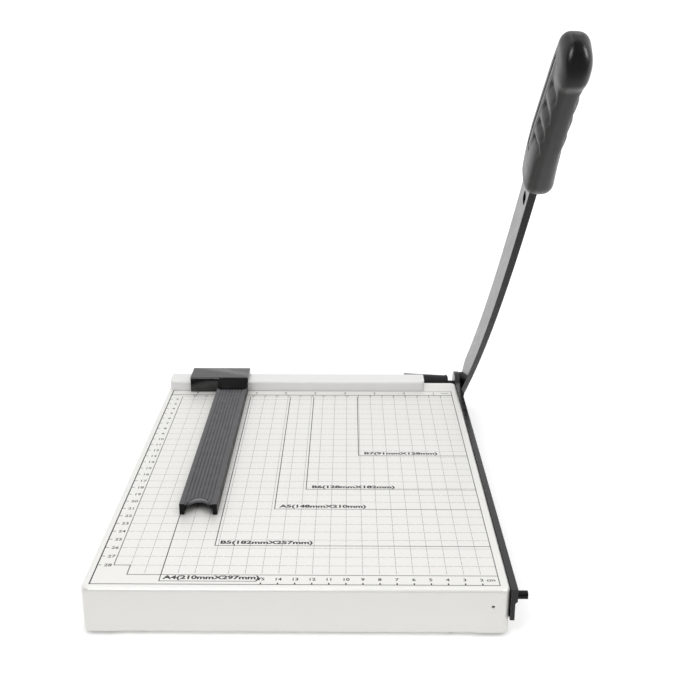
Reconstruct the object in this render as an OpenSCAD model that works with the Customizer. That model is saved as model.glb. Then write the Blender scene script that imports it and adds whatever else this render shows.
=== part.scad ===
// Guillotine paper trimmer: a folded steel tray, a fixed blade along its right side, a curved blade
// arm on a sprung pivot bolt, and a paper gauge that slides along a rail at the back.
// Inside the modules X = 0 is the cutting plane, Y = 0 the rail's front face and Z = 0 the deck.

/* [Tray] */
// Width of the tray
tray_w = 251; // [230:1:300]
// Depth of the tray from front wall to rear wall
tray_d = 326; // [300:1:360]
// Height of the tray's walls
tray_h = 30; // [28:1:40]
// Thickness of the tray's sheet
sheet_t = 1.2; // [0.8:0.1:1.5]
// Outer radius of the fold round the deck
fold_r = 2.5; // [2:0.1:4]
// Radius of the tray's upright corners
corner_r = 5; // [4.5:0.5:10]
// Width of the return flange under each wall
flange_w = 16; // [14:1:20]
// Distance from each corner of the tray to the end of a flange
flange_setback = 20; // [12:1:26]
// Outer radius of the bend into the flange
hem_r = 2; // [1.8:0.1:3]
// Height by which the walls stop short of the flange at the corners
corner_relief = 0.8; // [0.4:0.1:1.5]
// Diameter of the small hole in the front wall
front_hole_d = 2; // [1:0.5:4]
// Distance of that hole from the tray's right wall
front_hole_in = 10; // [7:0.5:40]
// Depth of that hole below the deck
front_hole_drop = 11.5; // [6:0.5:20]

/* [Feet] */
// Diameter of a rubber foot's sole
foot_d = 11; // [8:0.5:12]
// Height of a foot below the flange
foot_h = 2; // [1:0.5:6]
// Diameter of a foot's stem
foot_stem_d = 5; // [3:0.5:6]
// Diameter of the bead that holds a foot in the flange
foot_bead_d = 7; // [6.5:0.5:9]
// Height of that bead
foot_bead_h = 3; // [2:0.5:5]
// Distance of the feet from the tray's side walls
foot_inset = 34; // [30:1:60]

/* [Fixed blade] */
// Thickness of the fixed blade
blade_t = 4; // [3:0.1:6]
// Height of the fixed blade
blade_h = 20.5; // [18:0.5:24]
// Diameter of the ear round the pivot
ear_d = 25; // [20:0.5:30]
// Height of the full-thickness land along the cutting edge
land_h = 8; // [7.5:0.5:9]
// Depth by which the outer face is relieved below that land
relief = 1.3; // [0.5:0.1:1.5]
// Number of screws that hold the fixed blade
blade_screws = 4; // [3:1:6]
// Diameter of those screws
blade_screw_d = 4; // [3:0.5:5]
// Distance from the blade's ends to its end screws
blade_screw_end = 24; // [15:1:40]

/* [Stop pin] */
// Diameter of the stop pin
stop_d = 5; // [4:0.5:8]
// Length of the pin outside the fixed blade
stop_reach = 6; // [5:0.5:10]
// Diameter of the pin's stem in the blade
stop_stem_d = 3.6; // [3:0.1:3.8]
// Distance of the pin from the front end of the blade
stop_from_front = 3; // [2.5:0.5:8]
// Depth of the pin's axis below the deck
stop_drop = 5; // [4:0.5:8]

/* [Pivot] */
// Distance of the pivot behind the tray's rear wall
pivot_back = 12; // [12:0.5:16]
// Depth of the pivot below the deck
pivot_drop = 7.5; // [6:0.5:9]
// Diameter of the pivot bolt
bolt_d = 6; // [5:0.5:6]
// Diameter of the bolt's domed head
bolt_head_d = 14; // [11:0.5:18]
// Height of the bolt's domed head
bolt_head_h = 3.4; // [2.5:0.1:5]
// Diameter of the washer under the head
washer_d = 17; // [14:0.5:20]
// Thickness of both washers on the bolt
washer_t = 1; // [0.8:0.1:1.6]
// Length of the spring housing's round body
housing_l = 39; // [36:1:50]
// Diameter of the housing at its open left end
housing_left_d = 21.4; // [20:0.1:22]
// Diameter of the housing at its right end
housing_right_d = 17.9; // [17:0.1:20]
// Diameter of the housing's neck
neck_d = 8.6; // [8:0.1:11]
// Length of the housing's neck
neck_l = 5.5; // [3:0.5:8]
// Diameter of the spring's chamber in the housing
chamber_d = 14.6; // [14:0.1:15.4]
// Thickness of the housing's end wall at the neck
housing_wall = 2.4; // [1.5:0.1:4]
// Diameter of the spring's wire
wire_d = 1.6; // [1:0.1:1.8]
// Mean diameter of the spring's coils
coil_d = 10.4; // [9.6:0.1:11]
// Length of the spring as fitted
spring_l = 26; // [22:1:28]
// Number of coils in the spring
coils = 6; // [4:1:8]
// Width of the nut across its flats
nut_flats = 10; // [9:0.5:11]
// Height of the nut
nut_h = 6; // [4:0.5:7]

/* [Blade arm] */
// Width of the arm's bar
arm_w = 18; // [16:0.5:22]
// Thickness of the arm's bar
arm_t = 4.4; // [3:0.1:6]
// Radius of the curve that the arm's bar follows
arm_curve_r = 1833; // [1500:1:2600]
// Diameter of the eye at the pivot
eye_d = 24; // [21:0.5:30]
// Distance along the arm from the pivot to the grip
grip_at = 366; // [350:1:400]
// Depth of the bar's end in the grip
bar_seat = 6; // [4:0.5:7]
// Width of the tang inside the grip
tang_w = 12; // [8:0.5:13]
// Length of the tang past the bar
tang_l = 82; // [60:1:84]
// Angle of the arm above the deck at the pivot
arm_lift = 33.8; // [20:0.1:45]
// Length of the slotted hole near the grip
slot_l = 10; // [8:0.5:14]
// Width of the slotted hole
slot_w = 6; // [4:0.5:7]
// Distance from the slotted hole's middle to the grip
slot_before_grip = 8.5; // [6:0.5:20]
// Distance of the slotted hole below the middle of the bar
slot_drop = 2.5; // [0:0.5:3]

/* [Grip] */
// Length of the grip
grip_l = 116.6; // [112:0.1:135]
// Width of the grip from its middle to its inner side
grip_in_w = 8.6; // [8.2:0.1:10]
// Width of the grip from its middle to its outer side
grip_out_w = 9.25; // [8.8:0.05:11]
// Height of the grip above the arm's axis
grip_up = 9.4; // [9.2:0.1:14]
// Height of the grip below the arm's axis
grip_down = 12.4; // [11:0.1:16]
// Narrowing of the grip's outer side between its lower end and the knob
grip_waist = 1.45; // [0:0.05:2]
// Narrowing of the grip's inner side towards the tip
grip_taper = 2.5; // [0:0.1:3]
// Narrowing of the grip's inner side at its lower end
grip_heel_in = 0.7; // [0:0.1:1.5]
// Lean of the waist towards the lower end
waist_lean = 1; // [0:0.1:1.5]
// Sideways offset of the grip from the arm's middle
grip_offset = 2; // [0:0.1:2.5]
// Length of the rounded lower end
grip_heel = 11.7; // [8:0.1:16]
// Length of the rounded lower end on the grip's underside
heel_under = 14.3; // [8:0.1:18]
// Length of the rounded tip
grip_nose = 11.3; // [8:0.1:14]
// Length of the rounded tip on the grip's underside
nose_under = 19.6; // [12:0.1:22]
// Extra roundness of the tip on its outer side
nose_lean = 2.4; // [0:0.1:3]
// Distance from the tip to the first finger swell
knob_l = 28.5; // [26:0.1:34]
// Depth by which the knob hangs below the grip
knob_drop = 2; // [0:0.1:4]
// Distance from the tip to the crease under the knob
crease_in = 25; // [20:0.1:30]
// Length of the crease along the grip
crease_l = 8; // [5:0.5:12]
// Number of finger swells on each side, between sharp valleys
swells = 3; // [2:1:4]
// Length of the swell nearest the knob
swell_pitch = 15; // [12:0.1:16]
// Length of each swell as a share of the one nearer the knob
swell_ratio = 0.9; // [0.8:0.01:0.95]
// Depth of the valleys between the swells
valley_depth = 1.7; // [0.5:0.05:2]
// Distance by which the valleys bend towards the lower end under the grip
valley_bend = 5; // [0:0.5:6]
// Distance over which the last valley fades out towards the lower end
valley_fade = 16; // [6:0.5:20]
// Distance over which the knob rises from the neck
knob_fade = 14; // [8:0.1:16]
// Width of the channel in the grip's inner side
channel_w = 4.8; // [4.4:0.2:5.2]
// Depth of that channel
channel_depth = 0.6; // [0.4:0.1:1]
// Height of the channel's lower side above the arm's axis
channel_low = -1; // [-1.5:0.1:0]
// Width of the rib along the channel's middle
channel_rib_w = 3; // [2:0.1:3.4]
// Depth of that rib's top below the grip's inner side
channel_rib_in = 0.15; // [0.1:0.05:0.3]
// Distance from the grip's lower end to the channel
channel_start = 33; // [30:1:40]
// Length of the channel
channel_l = 68; // [60:1:70]
// Diameter of the grip's screws
grip_screw_d = 3; // [2.5:0.5:3.5]
// Distance from the grip's lower end to the nearer screw
grip_screw_from = 46; // [40:1:50]
// Distance between the grip's screws
grip_screw_apart = 30; // [20:1:36]
// Depth of the screws' seats below the grip's outer side
grip_screw_sunk = 3.2; // [2.6:0.1:4]

/* [Rail] */
// Length of the paper rail
rail_l = 220; // [180:1:230]
// Width of the paper rail from front to back
rail_w = 19; // [15:0.5:20]
// Height of the paper rail
rail_h = 8.75; // [8:0.25:12]
// Radius of the rail's upper edges
rail_edge_r = 2; // [1:0.5:3]
// Radius of the rail's corners seen from above
rail_corner_r = 3; // [1:0.5:5]
// Distance of the rail from the tray's left wall
rail_in = 2; // [1:0.5:10]
// Distance of the rail's back from the tray's rear wall
rail_back = 2; // [1.8:0.1:4]
// Number of screws that hold the rail
rail_screws_n = 3; // [2:1:5]
// Diameter of those screws
rail_screw_d = 3.5; // [2.5:0.5:4]
// Distance from the rail's ends to its end screws
rail_screw_end = 20; // [12:1:40]

/* [Gauge] */
// Paper size that the gauge is set to, from the cut to its far edge
gauge_set = 210.3; // [150:0.1:215]
// Distance from the rail's face to the front end of the gauge
gauge_reach = 218.5; // [150:0.1:260]
// Width of the gauge's arm
gauge_w = 25; // [22:0.5:32]
// Height of the gauge's arm
gauge_h = 8; // [7:0.1:9]
// Thickness of the arm's roof
roof_t = 2.4; // [2:0.1:3]
// Thickness of the arm's legs
leg_t = 3.1; // [2:0.1:4]
// Number of grooves along the arm
grooves = 8; // [4:1:8]
// Pitch of those grooves
groove_pitch = 2.45; // [1.6:0.05:2.5]
// Width of a groove
groove_w = 1.1; // [0.5:0.1:1.3]
// Depth of a groove
groove_depth = 0.5; // [0.2:0.1:0.8]
// Radius of the round notch cut aslant through the gauge arm's end
notch_r = 8.3; // [6:0.1:9]
// Angle of that cut from upright
notch_slope = 53; // [40:1:58]
// Depth of the notch at the top of the arm
notch_deep = 9.8; // [8:0.1:11]
// Length of the sliding block
block_l = 49.5; // [44:0.5:70]
// Height of the block above the deck
block_h = 13.2; // [13:0.1:16]
// Thickness of the block's front skirt
skirt_t = 2.7; // [2:0.1:4]
// Thickness of the block's rear lip
lip_t = 1.4; // [1.2:0.1:1.5]
// Length of the hood over the arm's rear end
hood_l = 13.5; // [8:0.5:16]
// Thickness of the hood at its front edge
hood_t = 0.6; // [0.4:0.1:1]
// Radius of the hood's front corners
hood_corner_r = 4; // [2:0.5:6]
// Bevel of the block's edges
block_bevel = 0.5; // [0.2:0.1:0.8]
// Length of the tongue that carries the arm
tongue_l = 22; // [18:1:40]
// Diameter of the gauge's screws
gauge_screw_d = 2.5; // [2:0.5:3]
// Thickness of the block's leaf spring
leaf_t = 0.4; // [0.3:0.1:0.5]
// Length of the leaf spring
leaf_l = 28; // [20:1:34]
// Width of the leaf spring
leaf_w = 8; // [5:0.5:11]
// Rise of the leaf spring at its middle
leaf_rise = 1.2; // [0.8:0.1:1.3]

/* [Clearances] */
// Gap between the fixed blade and the arm
cut_gap = 0.1; // [0.05:0.05:0.2]
// Radial clearance of the bolt in the ear
bolt_clear = 0.05; // [0.02:0.01:0.1]
// Clearance of screws and stems in their holes
hole_clear = 0.1; // [0.05:0.05:0.2]
// Gap between the sliding gauge and the rail or deck
slide_gap = 0.3; // [0.2:0.05:0.35]
// Clearance between pieces fitted into each other
seat_clear = 0.15; // [0.1:0.05:0.2]

/* [Reference point] */
// Distance of the cutting plane to the right of the reference point
cut_x = 121; // [100:1:160]
// Distance of the rail's face behind the reference point
rail_y = 145; // [120:1:200]

/* [Hidden] */
$fn = 96;
arc_fn = 720;

tray_right = -blade_t;
tray_left = tray_right - tray_w;
tray_rear = rail_w + rail_back;
tray_front = tray_rear - tray_d;
inner_w = tray_w - 2 * corner_r;
inner_d = tray_d - 2 * corner_r;
deck_z = tray_h + foot_h;
pivot_y = tray_rear + pivot_back;
stop_y = tray_front + stop_from_front;
relief_end = pivot_y - ear_d / 2 - 2;
screw_head_ratio = 1.9;
screw_head_rise = 0.55;
cut_over = 1;

arm_in = cut_gap;
arm_out = arm_in + arm_t;
arm_mid = (arm_in + arm_out) / 2;
grip_mid = arm_mid + grip_offset;
bar_end = grip_at + bar_seat;
grip_w = grip_in_w + grip_out_w;
grip_screw_x = grip_mid + grip_out_w - grip_waist - grip_screw_sunk;
grip_screw_l = grip_screw_x - arm_in + seat_clear + 1;

neck_end = -blade_t - cut_gap;
housing_right = neck_end - neck_l;
housing_left = housing_right - housing_l;
chamber_end = housing_right - housing_wall;
spring_right = chamber_end - seat_clear;
spring_left = spring_right - spring_l;
spring_washer_x = spring_left - seat_clear - washer_t;
nut_x = spring_washer_x - nut_h;
bolt_end = nut_x - 1;

rail_x = tray_left + rail_in;
gauge_x = -gauge_set;
block_x = gauge_x + gauge_w - block_l;
block_front = -slide_gap - skirt_t;
block_back = rail_w + slide_gap + lip_t;
block_ceiling = rail_h + slide_gap;
roof_low = gauge_h - roof_t;
tongue_w = gauge_w - 2 * leg_t - 2 * seat_clear;
tongue_low = slide_gap + 0.6;
tongue_h = roof_low - seat_clear - tongue_low;
gauge_screw_l = gauge_h - groove_depth - 0.4 - tongue_low;
leaf_recess = leaf_rise + leaf_t + seat_clear - slide_gap;

// Moves a piece from the working frame to the reference point under the middle of the trimmer
module placed() {
    translate([cut_x, rail_y, deck_z]) children();
}

// Extrudes an outline drawn in Y and Z along X, from one X to another
module across(from, to) {
    translate([from, 0, 0]) rotate([90, 0, 90]) linear_extrude(to - from) children();
}

// A cylinder along X
module rod(from, to, d) {
    translate([from, 0, 0]) rotate([0, 90, 0]) cylinder(d = d, h = to - from);
}

// A round solid about the X axis, from an outline of radius and length along +X
module turned() {
    rotate([0, 90, 0]) rotate_extrude() children();
}

// Places children at an even row of points from one Y to another
module row_y(from, to, count) {
    for (k = [0 : count - 1]) translate([0, from + (to - from) * k / (count - 1), 0]) children();
}

// A pan-head screw along +Z with its seat at Z = 0 and its head below
module pan_screw(d, length) {
    head_r = d * screw_head_ratio / 2;
    head_h = d * screw_head_rise;
    cylinder(d = d, h = length);
    translate([0, 0, -head_h / 2]) cylinder(r = head_r, h = head_h / 2);
    translate([0, 0, -head_h]) cylinder(r1 = head_r * 0.7, r2 = head_r, h = head_h / 2);
}

// A flat-head screw along +Z with its head flush at Z = 0
module flat_screw(d, length) {
    cylinder(d = d, h = length);
    cylinder(d1 = 2 * d, d2 = d, h = d / 2);
}

// Section through a wall of the tray, measured out from an upright corner's axis
module wall_section(low) {
    translate([0, -sheet_t]) square([corner_r - fold_r, sheet_t]);
    translate([corner_r - fold_r, -fold_r]) intersection() {
        difference() {
            circle(fold_r);
            circle(fold_r - sheet_t);
        }
        square(fold_r);
    }
    translate([corner_r - sheet_t, -low]) square([sheet_t, low - fold_r]);
}

// Section through the bend and return flange under a wall
module flange_section() {
    translate([corner_r - hem_r, hem_r - tray_h]) intersection() {
        difference() {
            circle(hem_r);
            circle(hem_r - sheet_t);
        }
        translate([0, -hem_r]) square(hem_r);
    }
    translate([corner_r - flange_w, -tray_h]) square([flange_w - hem_r, sheet_t]);
}

// One side of the tray: a plain run at each corner and a flanged run between them
module tray_side(run) {
    plain = flange_setback - corner_r;
    for (y = [run / 2, plain - run / 2]) {
        translate([0, y, 0]) rotate([90, 0, 0]) linear_extrude(plain) wall_section(tray_h - corner_relief);
    }
    translate([0, run / 2 - plain, 0]) rotate([90, 0, 0]) linear_extrude(run - 2 * plain) {
        wall_section(tray_h - hem_r);
        flange_section();
    }
}

module tray_shell() {
    translate([-inner_w / 2, -inner_d / 2, -sheet_t]) cube([inner_w, inner_d, sheet_t]);
    for (side = [0 : 3]) rotate([0, 0, 90 * side]) {
        run = side % 2 == 0 ? inner_d : inner_w;
        out = side % 2 == 0 ? inner_w / 2 : inner_d / 2;
        translate([out, 0, 0]) tray_side(run);
        translate([out, run / 2, 0]) rotate_extrude(angle = 90) wall_section(tray_h - corner_relief);
    }
}

// Places children at the four feet, on the underside of the front and rear flanges
module at_feet() {
    for (x = [tray_left + foot_inset, tray_right - foot_inset]) {
        for (y = [tray_front + flange_w / 2 + 1, tray_rear - flange_w / 2 - 1]) {
            translate([x, y, -tray_h]) children();
        }
    }
}

// Places children at the fixed blade's screws, along +X from the inner face of the wall
module at_blade_screws() {
    translate([tray_right - sheet_t, 0, -blade_h / 2])
        row_y(tray_front + blade_screw_end, tray_rear - blade_screw_end, blade_screws)
            rotate([0, 90, 0]) children();
}

// Places children at the rail's screws, along +Z from the underside of the deck
module at_rail_screws() {
    span = rail_l - 2 * rail_screw_end;
    for (k = [0 : rail_screws_n - 1]) {
        translate([rail_x + rail_screw_end + span * k / (rail_screws_n - 1), rail_w / 2, -sheet_t])
            children();
    }
}

module base_tray() {
    color("whitesmoke") placed() difference() {
        translate([(tray_left + tray_right) / 2, (tray_front + tray_rear) / 2, 0]) tray_shell();
        at_feet() translate([0, 0, -cut_over])
            cylinder(d = foot_stem_d + 2 * hole_clear, h = sheet_t + 2 * cut_over);
        at_blade_screws() translate([0, 0, -cut_over])
            cylinder(d = blade_screw_d + 2 * hole_clear, h = sheet_t + 2 * cut_over);
        at_rail_screws() translate([0, 0, -cut_over])
            cylinder(d = rail_screw_d + 2 * hole_clear, h = sheet_t + 2 * cut_over);
        translate([tray_right - front_hole_in, tray_front - cut_over, -front_hole_drop]) rotate([-90, 0, 0])
            cylinder(d = front_hole_d, h = sheet_t + 2 * cut_over);
    }
}

module rubber_feet() {
    color("dimgray") placed() at_feet() {
        translate([0, 0, -foot_h]) cylinder(d1 = foot_d - foot_h / 2, d2 = foot_d, h = foot_h);
        cylinder(d = foot_stem_d, h = sheet_t);
        translate([0, 0, sheet_t]) cylinder(d1 = foot_bead_d, d2 = foot_stem_d, h = foot_bead_h);
    }
}

// Outline of the fixed blade: a straight bar that ends in a round ear at the pivot
module fixed_blade_outline() {
    translate([tray_front, -blade_h]) square([pivot_y - tray_front, blade_h]);
    translate([pivot_y, -pivot_drop]) circle(d = ear_d);
}

module fixed_blade() {
    color("dimgray") placed() difference() {
        across(-blade_t, 0) difference() {
            fixed_blade_outline();
            translate([pivot_y, -pivot_drop]) circle(d = bolt_d + 2 * bolt_clear);
            translate([stop_y, -stop_drop]) circle(d = stop_stem_d + 2 * hole_clear);
        }
        at_blade_screws() cylinder(d = blade_screw_d + 2 * hole_clear, h = sheet_t + blade_t + cut_over);
        translate([0, relief_end, 0]) rotate([90, 0, 0]) linear_extrude(relief_end - tray_front + cut_over)
            polygon([[0, -land_h], [cut_over, -land_h], [cut_over, -ear_d - blade_h],
                [-relief, -ear_d - blade_h],
                [-relief, -land_h - relief]]);
    }
}

module fixed_blade_screws() {
    color("silver") placed() at_blade_screws()
        pan_screw(blade_screw_d, sheet_t + blade_t - relief - cut_gap);
}

module stop_pin() {
    slot_w_pin = stop_d / 5;
    color("dimgray") placed() translate([0, stop_y, -stop_drop]) difference() {
        union() {
            rod(-blade_t, 0, stop_stem_d);
            rod(0, stop_reach, stop_d);
        }
        translate([stop_reach - slot_w_pin, -stop_d, -slot_w_pin / 2])
            cube([2 * slot_w_pin, 2 * stop_d, slot_w_pin]);
    }
}

// Section through the rail with its two upper edges rounded
module rail_section() {
    square([rail_w, rail_h - rail_edge_r]);
    translate([rail_edge_r, rail_h - rail_edge_r]) square([rail_w - 2 * rail_edge_r, rail_edge_r]);
    for (y = [rail_edge_r, rail_w - rail_edge_r]) translate([y, rail_h - rail_edge_r]) circle(rail_edge_r);
}

// The rail seen from above, with rounded corners
module rail_plan() {
    for (y = [rail_corner_r, rail_w - rail_corner_r]) {
        for (x = [rail_x + rail_corner_r, rail_x + rail_l - rail_corner_r]) {
            translate([x, y]) circle(rail_corner_r);
        }
    }
    translate([rail_x + rail_corner_r, 0]) square([rail_l - 2 * rail_corner_r, rail_w]);
    translate([rail_x, rail_corner_r]) square([rail_l, rail_w - 2 * rail_corner_r]);
}

module paper_rail() {
    screw_depth = rail_h * 0.75 + cut_over;
    color("white") placed() difference() {
        intersection() {
            across(rail_x, rail_x + rail_l) rail_section();
            linear_extrude(rail_h) rail_plan();
        }
        at_rail_screws() cylinder(d = rail_screw_d + hole_clear, h = sheet_t + screw_depth);
    }
}

module rail_screws() {
    color("silver") placed() at_rail_screws() pan_screw(rail_screw_d, sheet_t + rail_h * 0.75);
}

// Moves a piece drawn about the X axis onto the pivot
module on_pivot() {
    translate([0, pivot_y, -pivot_drop]) children();
}

module pivot_bolt() {
    head_x = arm_out + washer_t;
    dome_r = (bolt_head_d * bolt_head_d / 4 + bolt_head_h * bolt_head_h) / (2 * bolt_head_h);
    color("silver") placed() on_pivot() {
        rod(bolt_end, head_x, bolt_d);
        translate([head_x, 0, 0]) turned() intersection() {
            translate([0, bolt_head_h - dome_r]) circle(dome_r);
            square([bolt_head_d / 2, bolt_head_h]);
        }
    }
}

module ring(from, to, outer, inner) {
    difference() {
        rod(from, to, outer);
        rod(from - cut_over, to + cut_over, inner);
    }
}

module head_washer() {
    color("silver") placed() on_pivot()
        ring(arm_out, arm_out + washer_t, washer_d, bolt_d + 2 * hole_clear);
}

// The sleeve that holds the spring: a neck against the ear and a tapered body open at the left
module spring_housing() {
    rim = 1;
    color("black") placed() on_pivot() turned() difference() {
        union() {
            translate([0, housing_right]) square([neck_d / 2, neck_l]);
            polygon([[0, housing_left], [housing_left_d / 2, housing_left],
                [housing_right_d / 2, housing_right - 2 * rim],
                [housing_right_d / 2 + rim / 2, housing_right - 2 * rim],
                [housing_right_d / 2 + rim / 2, housing_right - rim],
                [housing_right_d / 2 - rim / 2, housing_right],
                [0, housing_right]]);
        }
        translate([0, housing_left - cut_over])
            square([chamber_d / 2, chamber_end - housing_left + cut_over]);
        translate([0, chamber_end - cut_over])
            square([bolt_d / 2 + hole_clear, neck_end - chamber_end + 2 * cut_over]);
    }
}

rings_per_coil = 8;
wire_sides = 6;
coil_rings = coils * rings_per_coil;
coil_pitch = (spring_l - wire_d) / coils;

// Middle of the wire at a ring of the spring
function coil_point(k) = [
    spring_right - wire_d / 2 - coil_pitch * k / rings_per_coil,
    coil_d / 2 * cos(360 * k / rings_per_coil),
    coil_d / 2 * sin(360 * k / rings_per_coil)
];

// Corner of the wire's section at a ring of the spring
function wire_point(k, side) =
    let (turn = 360 * k / rings_per_coil,
        a = 360 * side / wire_sides,
        reach = coil_d / 2 + wire_d / 2 * cos(a))
    [coil_point(k)[0] + wire_d / 2 * sin(a), reach * cos(turn), reach * sin(turn)];

// Least gap between one coil and the next, over all rings
coil_gap = min([for (k = [0 : coil_rings - rings_per_coil])
    norm(coil_point(k + rings_per_coil) - coil_point(k)) - wire_d]);
echo(pivot_spring_least_gap_to_itself = coil_gap);

module pivot_spring() {
    points = [for (k = [0 : coil_rings]) for (side = [0 : wire_sides - 1]) wire_point(k, side)];
    last = coil_rings * wire_sides;
    walls = [for (k = [0 : coil_rings - 1]) for (side = [0 : wire_sides - 1])
        let (next = (side + 1) % wire_sides, low = k * wire_sides, high = low + wire_sides)
        each [[low + side, low + next, high + next], [low + side, high + next, high + side]]];
    ends = [for (side = [1 : wire_sides - 2])
        each [[0, side + 1, side], [last, last + side, last + side + 1]]];
    color("gray") placed() on_pivot() polyhedron(points, concat(walls, ends));
}

module spring_washer() {
    color("silver") placed() on_pivot() ring(spring_washer_x, spring_washer_x + washer_t,
        chamber_d - 2 * seat_clear, bolt_d + 2 * hole_clear);
}

module pivot_nut() {
    corner_d = nut_flats / cos(30);
    color("silver") placed() on_pivot() difference() {
        translate([nut_x, 0, 0]) rotate([0, 90, 0]) cylinder(d = corner_d, h = nut_h, $fn = 6);
        rod(nut_x - cut_over, nut_x + nut_h + cut_over, bolt_d + bolt_clear);
    }
}

// Moves a piece from the arm's own frame, with the pivot at its origin and the bar level, to its place
module lifted() {
    on_pivot() rotate([-arm_lift, 0, 0]) children();
}

// Angle of the arm's curve at a distance from the pivot
function curve_angle(distance) = distance / arm_curve_r * 180 / PI;

// Moves an outline to a point along the arm's curve, turned to follow it
module along_outline(distance) {
    a = curve_angle(distance);
    translate([-arm_curve_r * sin(a), arm_curve_r * (1 - cos(a))]) rotate(-a) children();
}

// Moves a solid to a point along the arm's curve, turned to follow it
module along_arm(distance) {
    a = curve_angle(distance);
    translate([0, -arm_curve_r * sin(a), arm_curve_r * (1 - cos(a))]) rotate([-a, 0, 0]) children();
}

// Outline of the arm's bar between its eye and its end
module bar_outline() {
    intersection() {
        translate([0, arm_curve_r]) difference() {
            circle(arm_curve_r + arm_w / 2, $fn = arc_fn);
            circle(arm_curve_r - arm_w / 2, $fn = arc_fn);
        }
        along_outline(bar_end) translate([0, -2 * arm_w]) square([2 * bar_end, 4 * arm_w]);
        translate([-2 * bar_end, -bar_end]) square([2 * bar_end, 2 * bar_end]);
    }
    circle(d = eye_d);
}

// Outline of the slotted hole, along the arm
module slot_outline() {
    straight = slot_l - slot_w;
    square([straight, slot_w], center = true);
    for (x = [-straight / 2, straight / 2]) translate([x, 0]) circle(d = slot_w);
}

// Places children at the grip's screws, along -X from the floor of their counterbores
module at_grip_screws() {
    for (t = [grip_screw_from, grip_screw_from + grip_screw_apart]) {
        along_arm(grip_at) translate([grip_screw_x, -t, 0]) rotate([0, -90, 0]) children();
    }
}

module blade_arm() {
    color("slategray") placed() lifted() difference() {
        union() {
            across(arm_in, arm_out) difference() {
                bar_outline();
                circle(d = bolt_d + 2 * bolt_clear);
                along_outline(grip_at - slot_before_grip) translate([0, -slot_drop]) slot_outline();
            }
            along_arm(grip_at) translate([arm_in, -bar_seat - tang_l, -tang_w / 2])
                cube([arm_t, tang_l + cut_over, tang_w]);
        }
        at_grip_screws() cylinder(d = grip_screw_d + 2 * hole_clear, h = grip_w);
    }
}

// Share of the grip's full section at a distance from its lower end, for two ends of given lengths
function end_share(t, heel, nose) =
    let (into = max((heel - t) / heel, (t - grip_l + nose) / nose, 0))
    sqrt(max(0, 1 - into * into));

// Rise of a quarter round from 0 to 1
function quarter(u) = u >= 1 ? 1 : sqrt(1 - pow(1 - max(0, u), 2));

// Smooth step from 0 to 1
function ease(u) = let (v = min(1, max(0, u))) v * v * (3 - 2 * v);

// Rise of the knob from the neck towards the tip, from 0 to 1
function knob_share(t) = quarter((t - grip_l + knob_l) / knob_fade);

// Share of the valleys' depth at a distance along the grip: round swells between sharp valleys,
// each swell shorter than the one before it
swells_l = swell_pitch * (1 - pow(swell_ratio, swells)) / (1 - swell_ratio);
function valley_share(t) =
    let (past = grip_l - knob_l - t)
    past < 0 ? 1 - knob_share(t) :
    past > swells_l ? 1 - quarter((past - swells_l) / valley_fade) :
    1 - abs(sin(180 * ln(1 - past * (1 - swell_ratio) / swell_pitch) / ln(swell_ratio)));

// Share of the valleys' depth by height: the lower part of both sides, none under the grip
function valley_side(height) = ease((height + 0.95) / 0.13) * ease((-0.12 - height) / 0.09);

// Half height of the grip below its axis
function grip_low(t) = grip_down + knob_drop * ease((t - grip_l + crease_in) / crease_l);

// Half width of the grip on its inner side and on its outer side
function grip_inner(t) =
    grip_in_w - grip_taper * max(0, t / grip_l - 0.4) / 0.6 - grip_heel_in * (1 - ease(3 * t / grip_l));
function grip_outer(t) =
    let (lean = 1 + waist_lean * (0.55 - t / grip_l))
    grip_out_w - grip_waist * lean * ease(3 * t / grip_l) * (1 - knob_share(t));

// Power that makes the grip's section squarish: flat sides above, rounder below and at the ends
square_top = 0.4;
square_low = 0.65;
square_heel = 0.68;
square_nose = 0.64;
heel_blend = 22;
nose_blend = 26;
function squareness(t, above) =
    let (heel = 1 - ease(t / heel_blend),
        nose = ease((t - grip_l + nose_blend) / nose_blend))
    (above ? square_top : square_low) * (1 - heel - nose) + square_heel * heel + square_nose * nose;
function rounded(v, power) = sign(v) * pow(abs(v), power);

// Point of the grip's skin at a distance from its lower end and an angle round it
function grip_point(t, a) =
    let (power = squareness(t, a < 180),
        side = rounded(cos(a), power),
        rise = rounded(sin(a), power),
        bent = t + valley_bend * ease((-0.7 - rise) / 0.25),
        valley = valley_depth * valley_share(bent) * valley_side(rise),
        share = end_share(t, grip_heel, grip_nose + nose_lean * cos(a)),
        half_w = ((side < 0 ? grip_inner(t) : grip_outer(t)) - valley) * share,
        half_h = rise < 0 ? grip_low(t) * end_share(t, heel_under, nose_under) : grip_up * share)
    [grip_mid + half_w * side, -t, half_h * rise];

// Angle of a point in a ring, drawn towards the middles of the flat sides
function ring_angle(k) = let (a = 360 * (k + 0.5) / ring_points) a - 10 * sin(4 * a);

cap_rings = 9;
body_rings = 48;
ring_points = 36;
grip_rings = concat(
    [for (k = [1 : cap_rings]) grip_heel * (1 - cos(90 * k / cap_rings))],
    [for (k = [1 : body_rings]) grip_heel + (grip_l - grip_heel - grip_nose) * k / body_rings],
    [for (k = [1 : cap_rings - 1]) grip_l - grip_nose * (1 - sin(90 * k / cap_rings))]);

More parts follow.
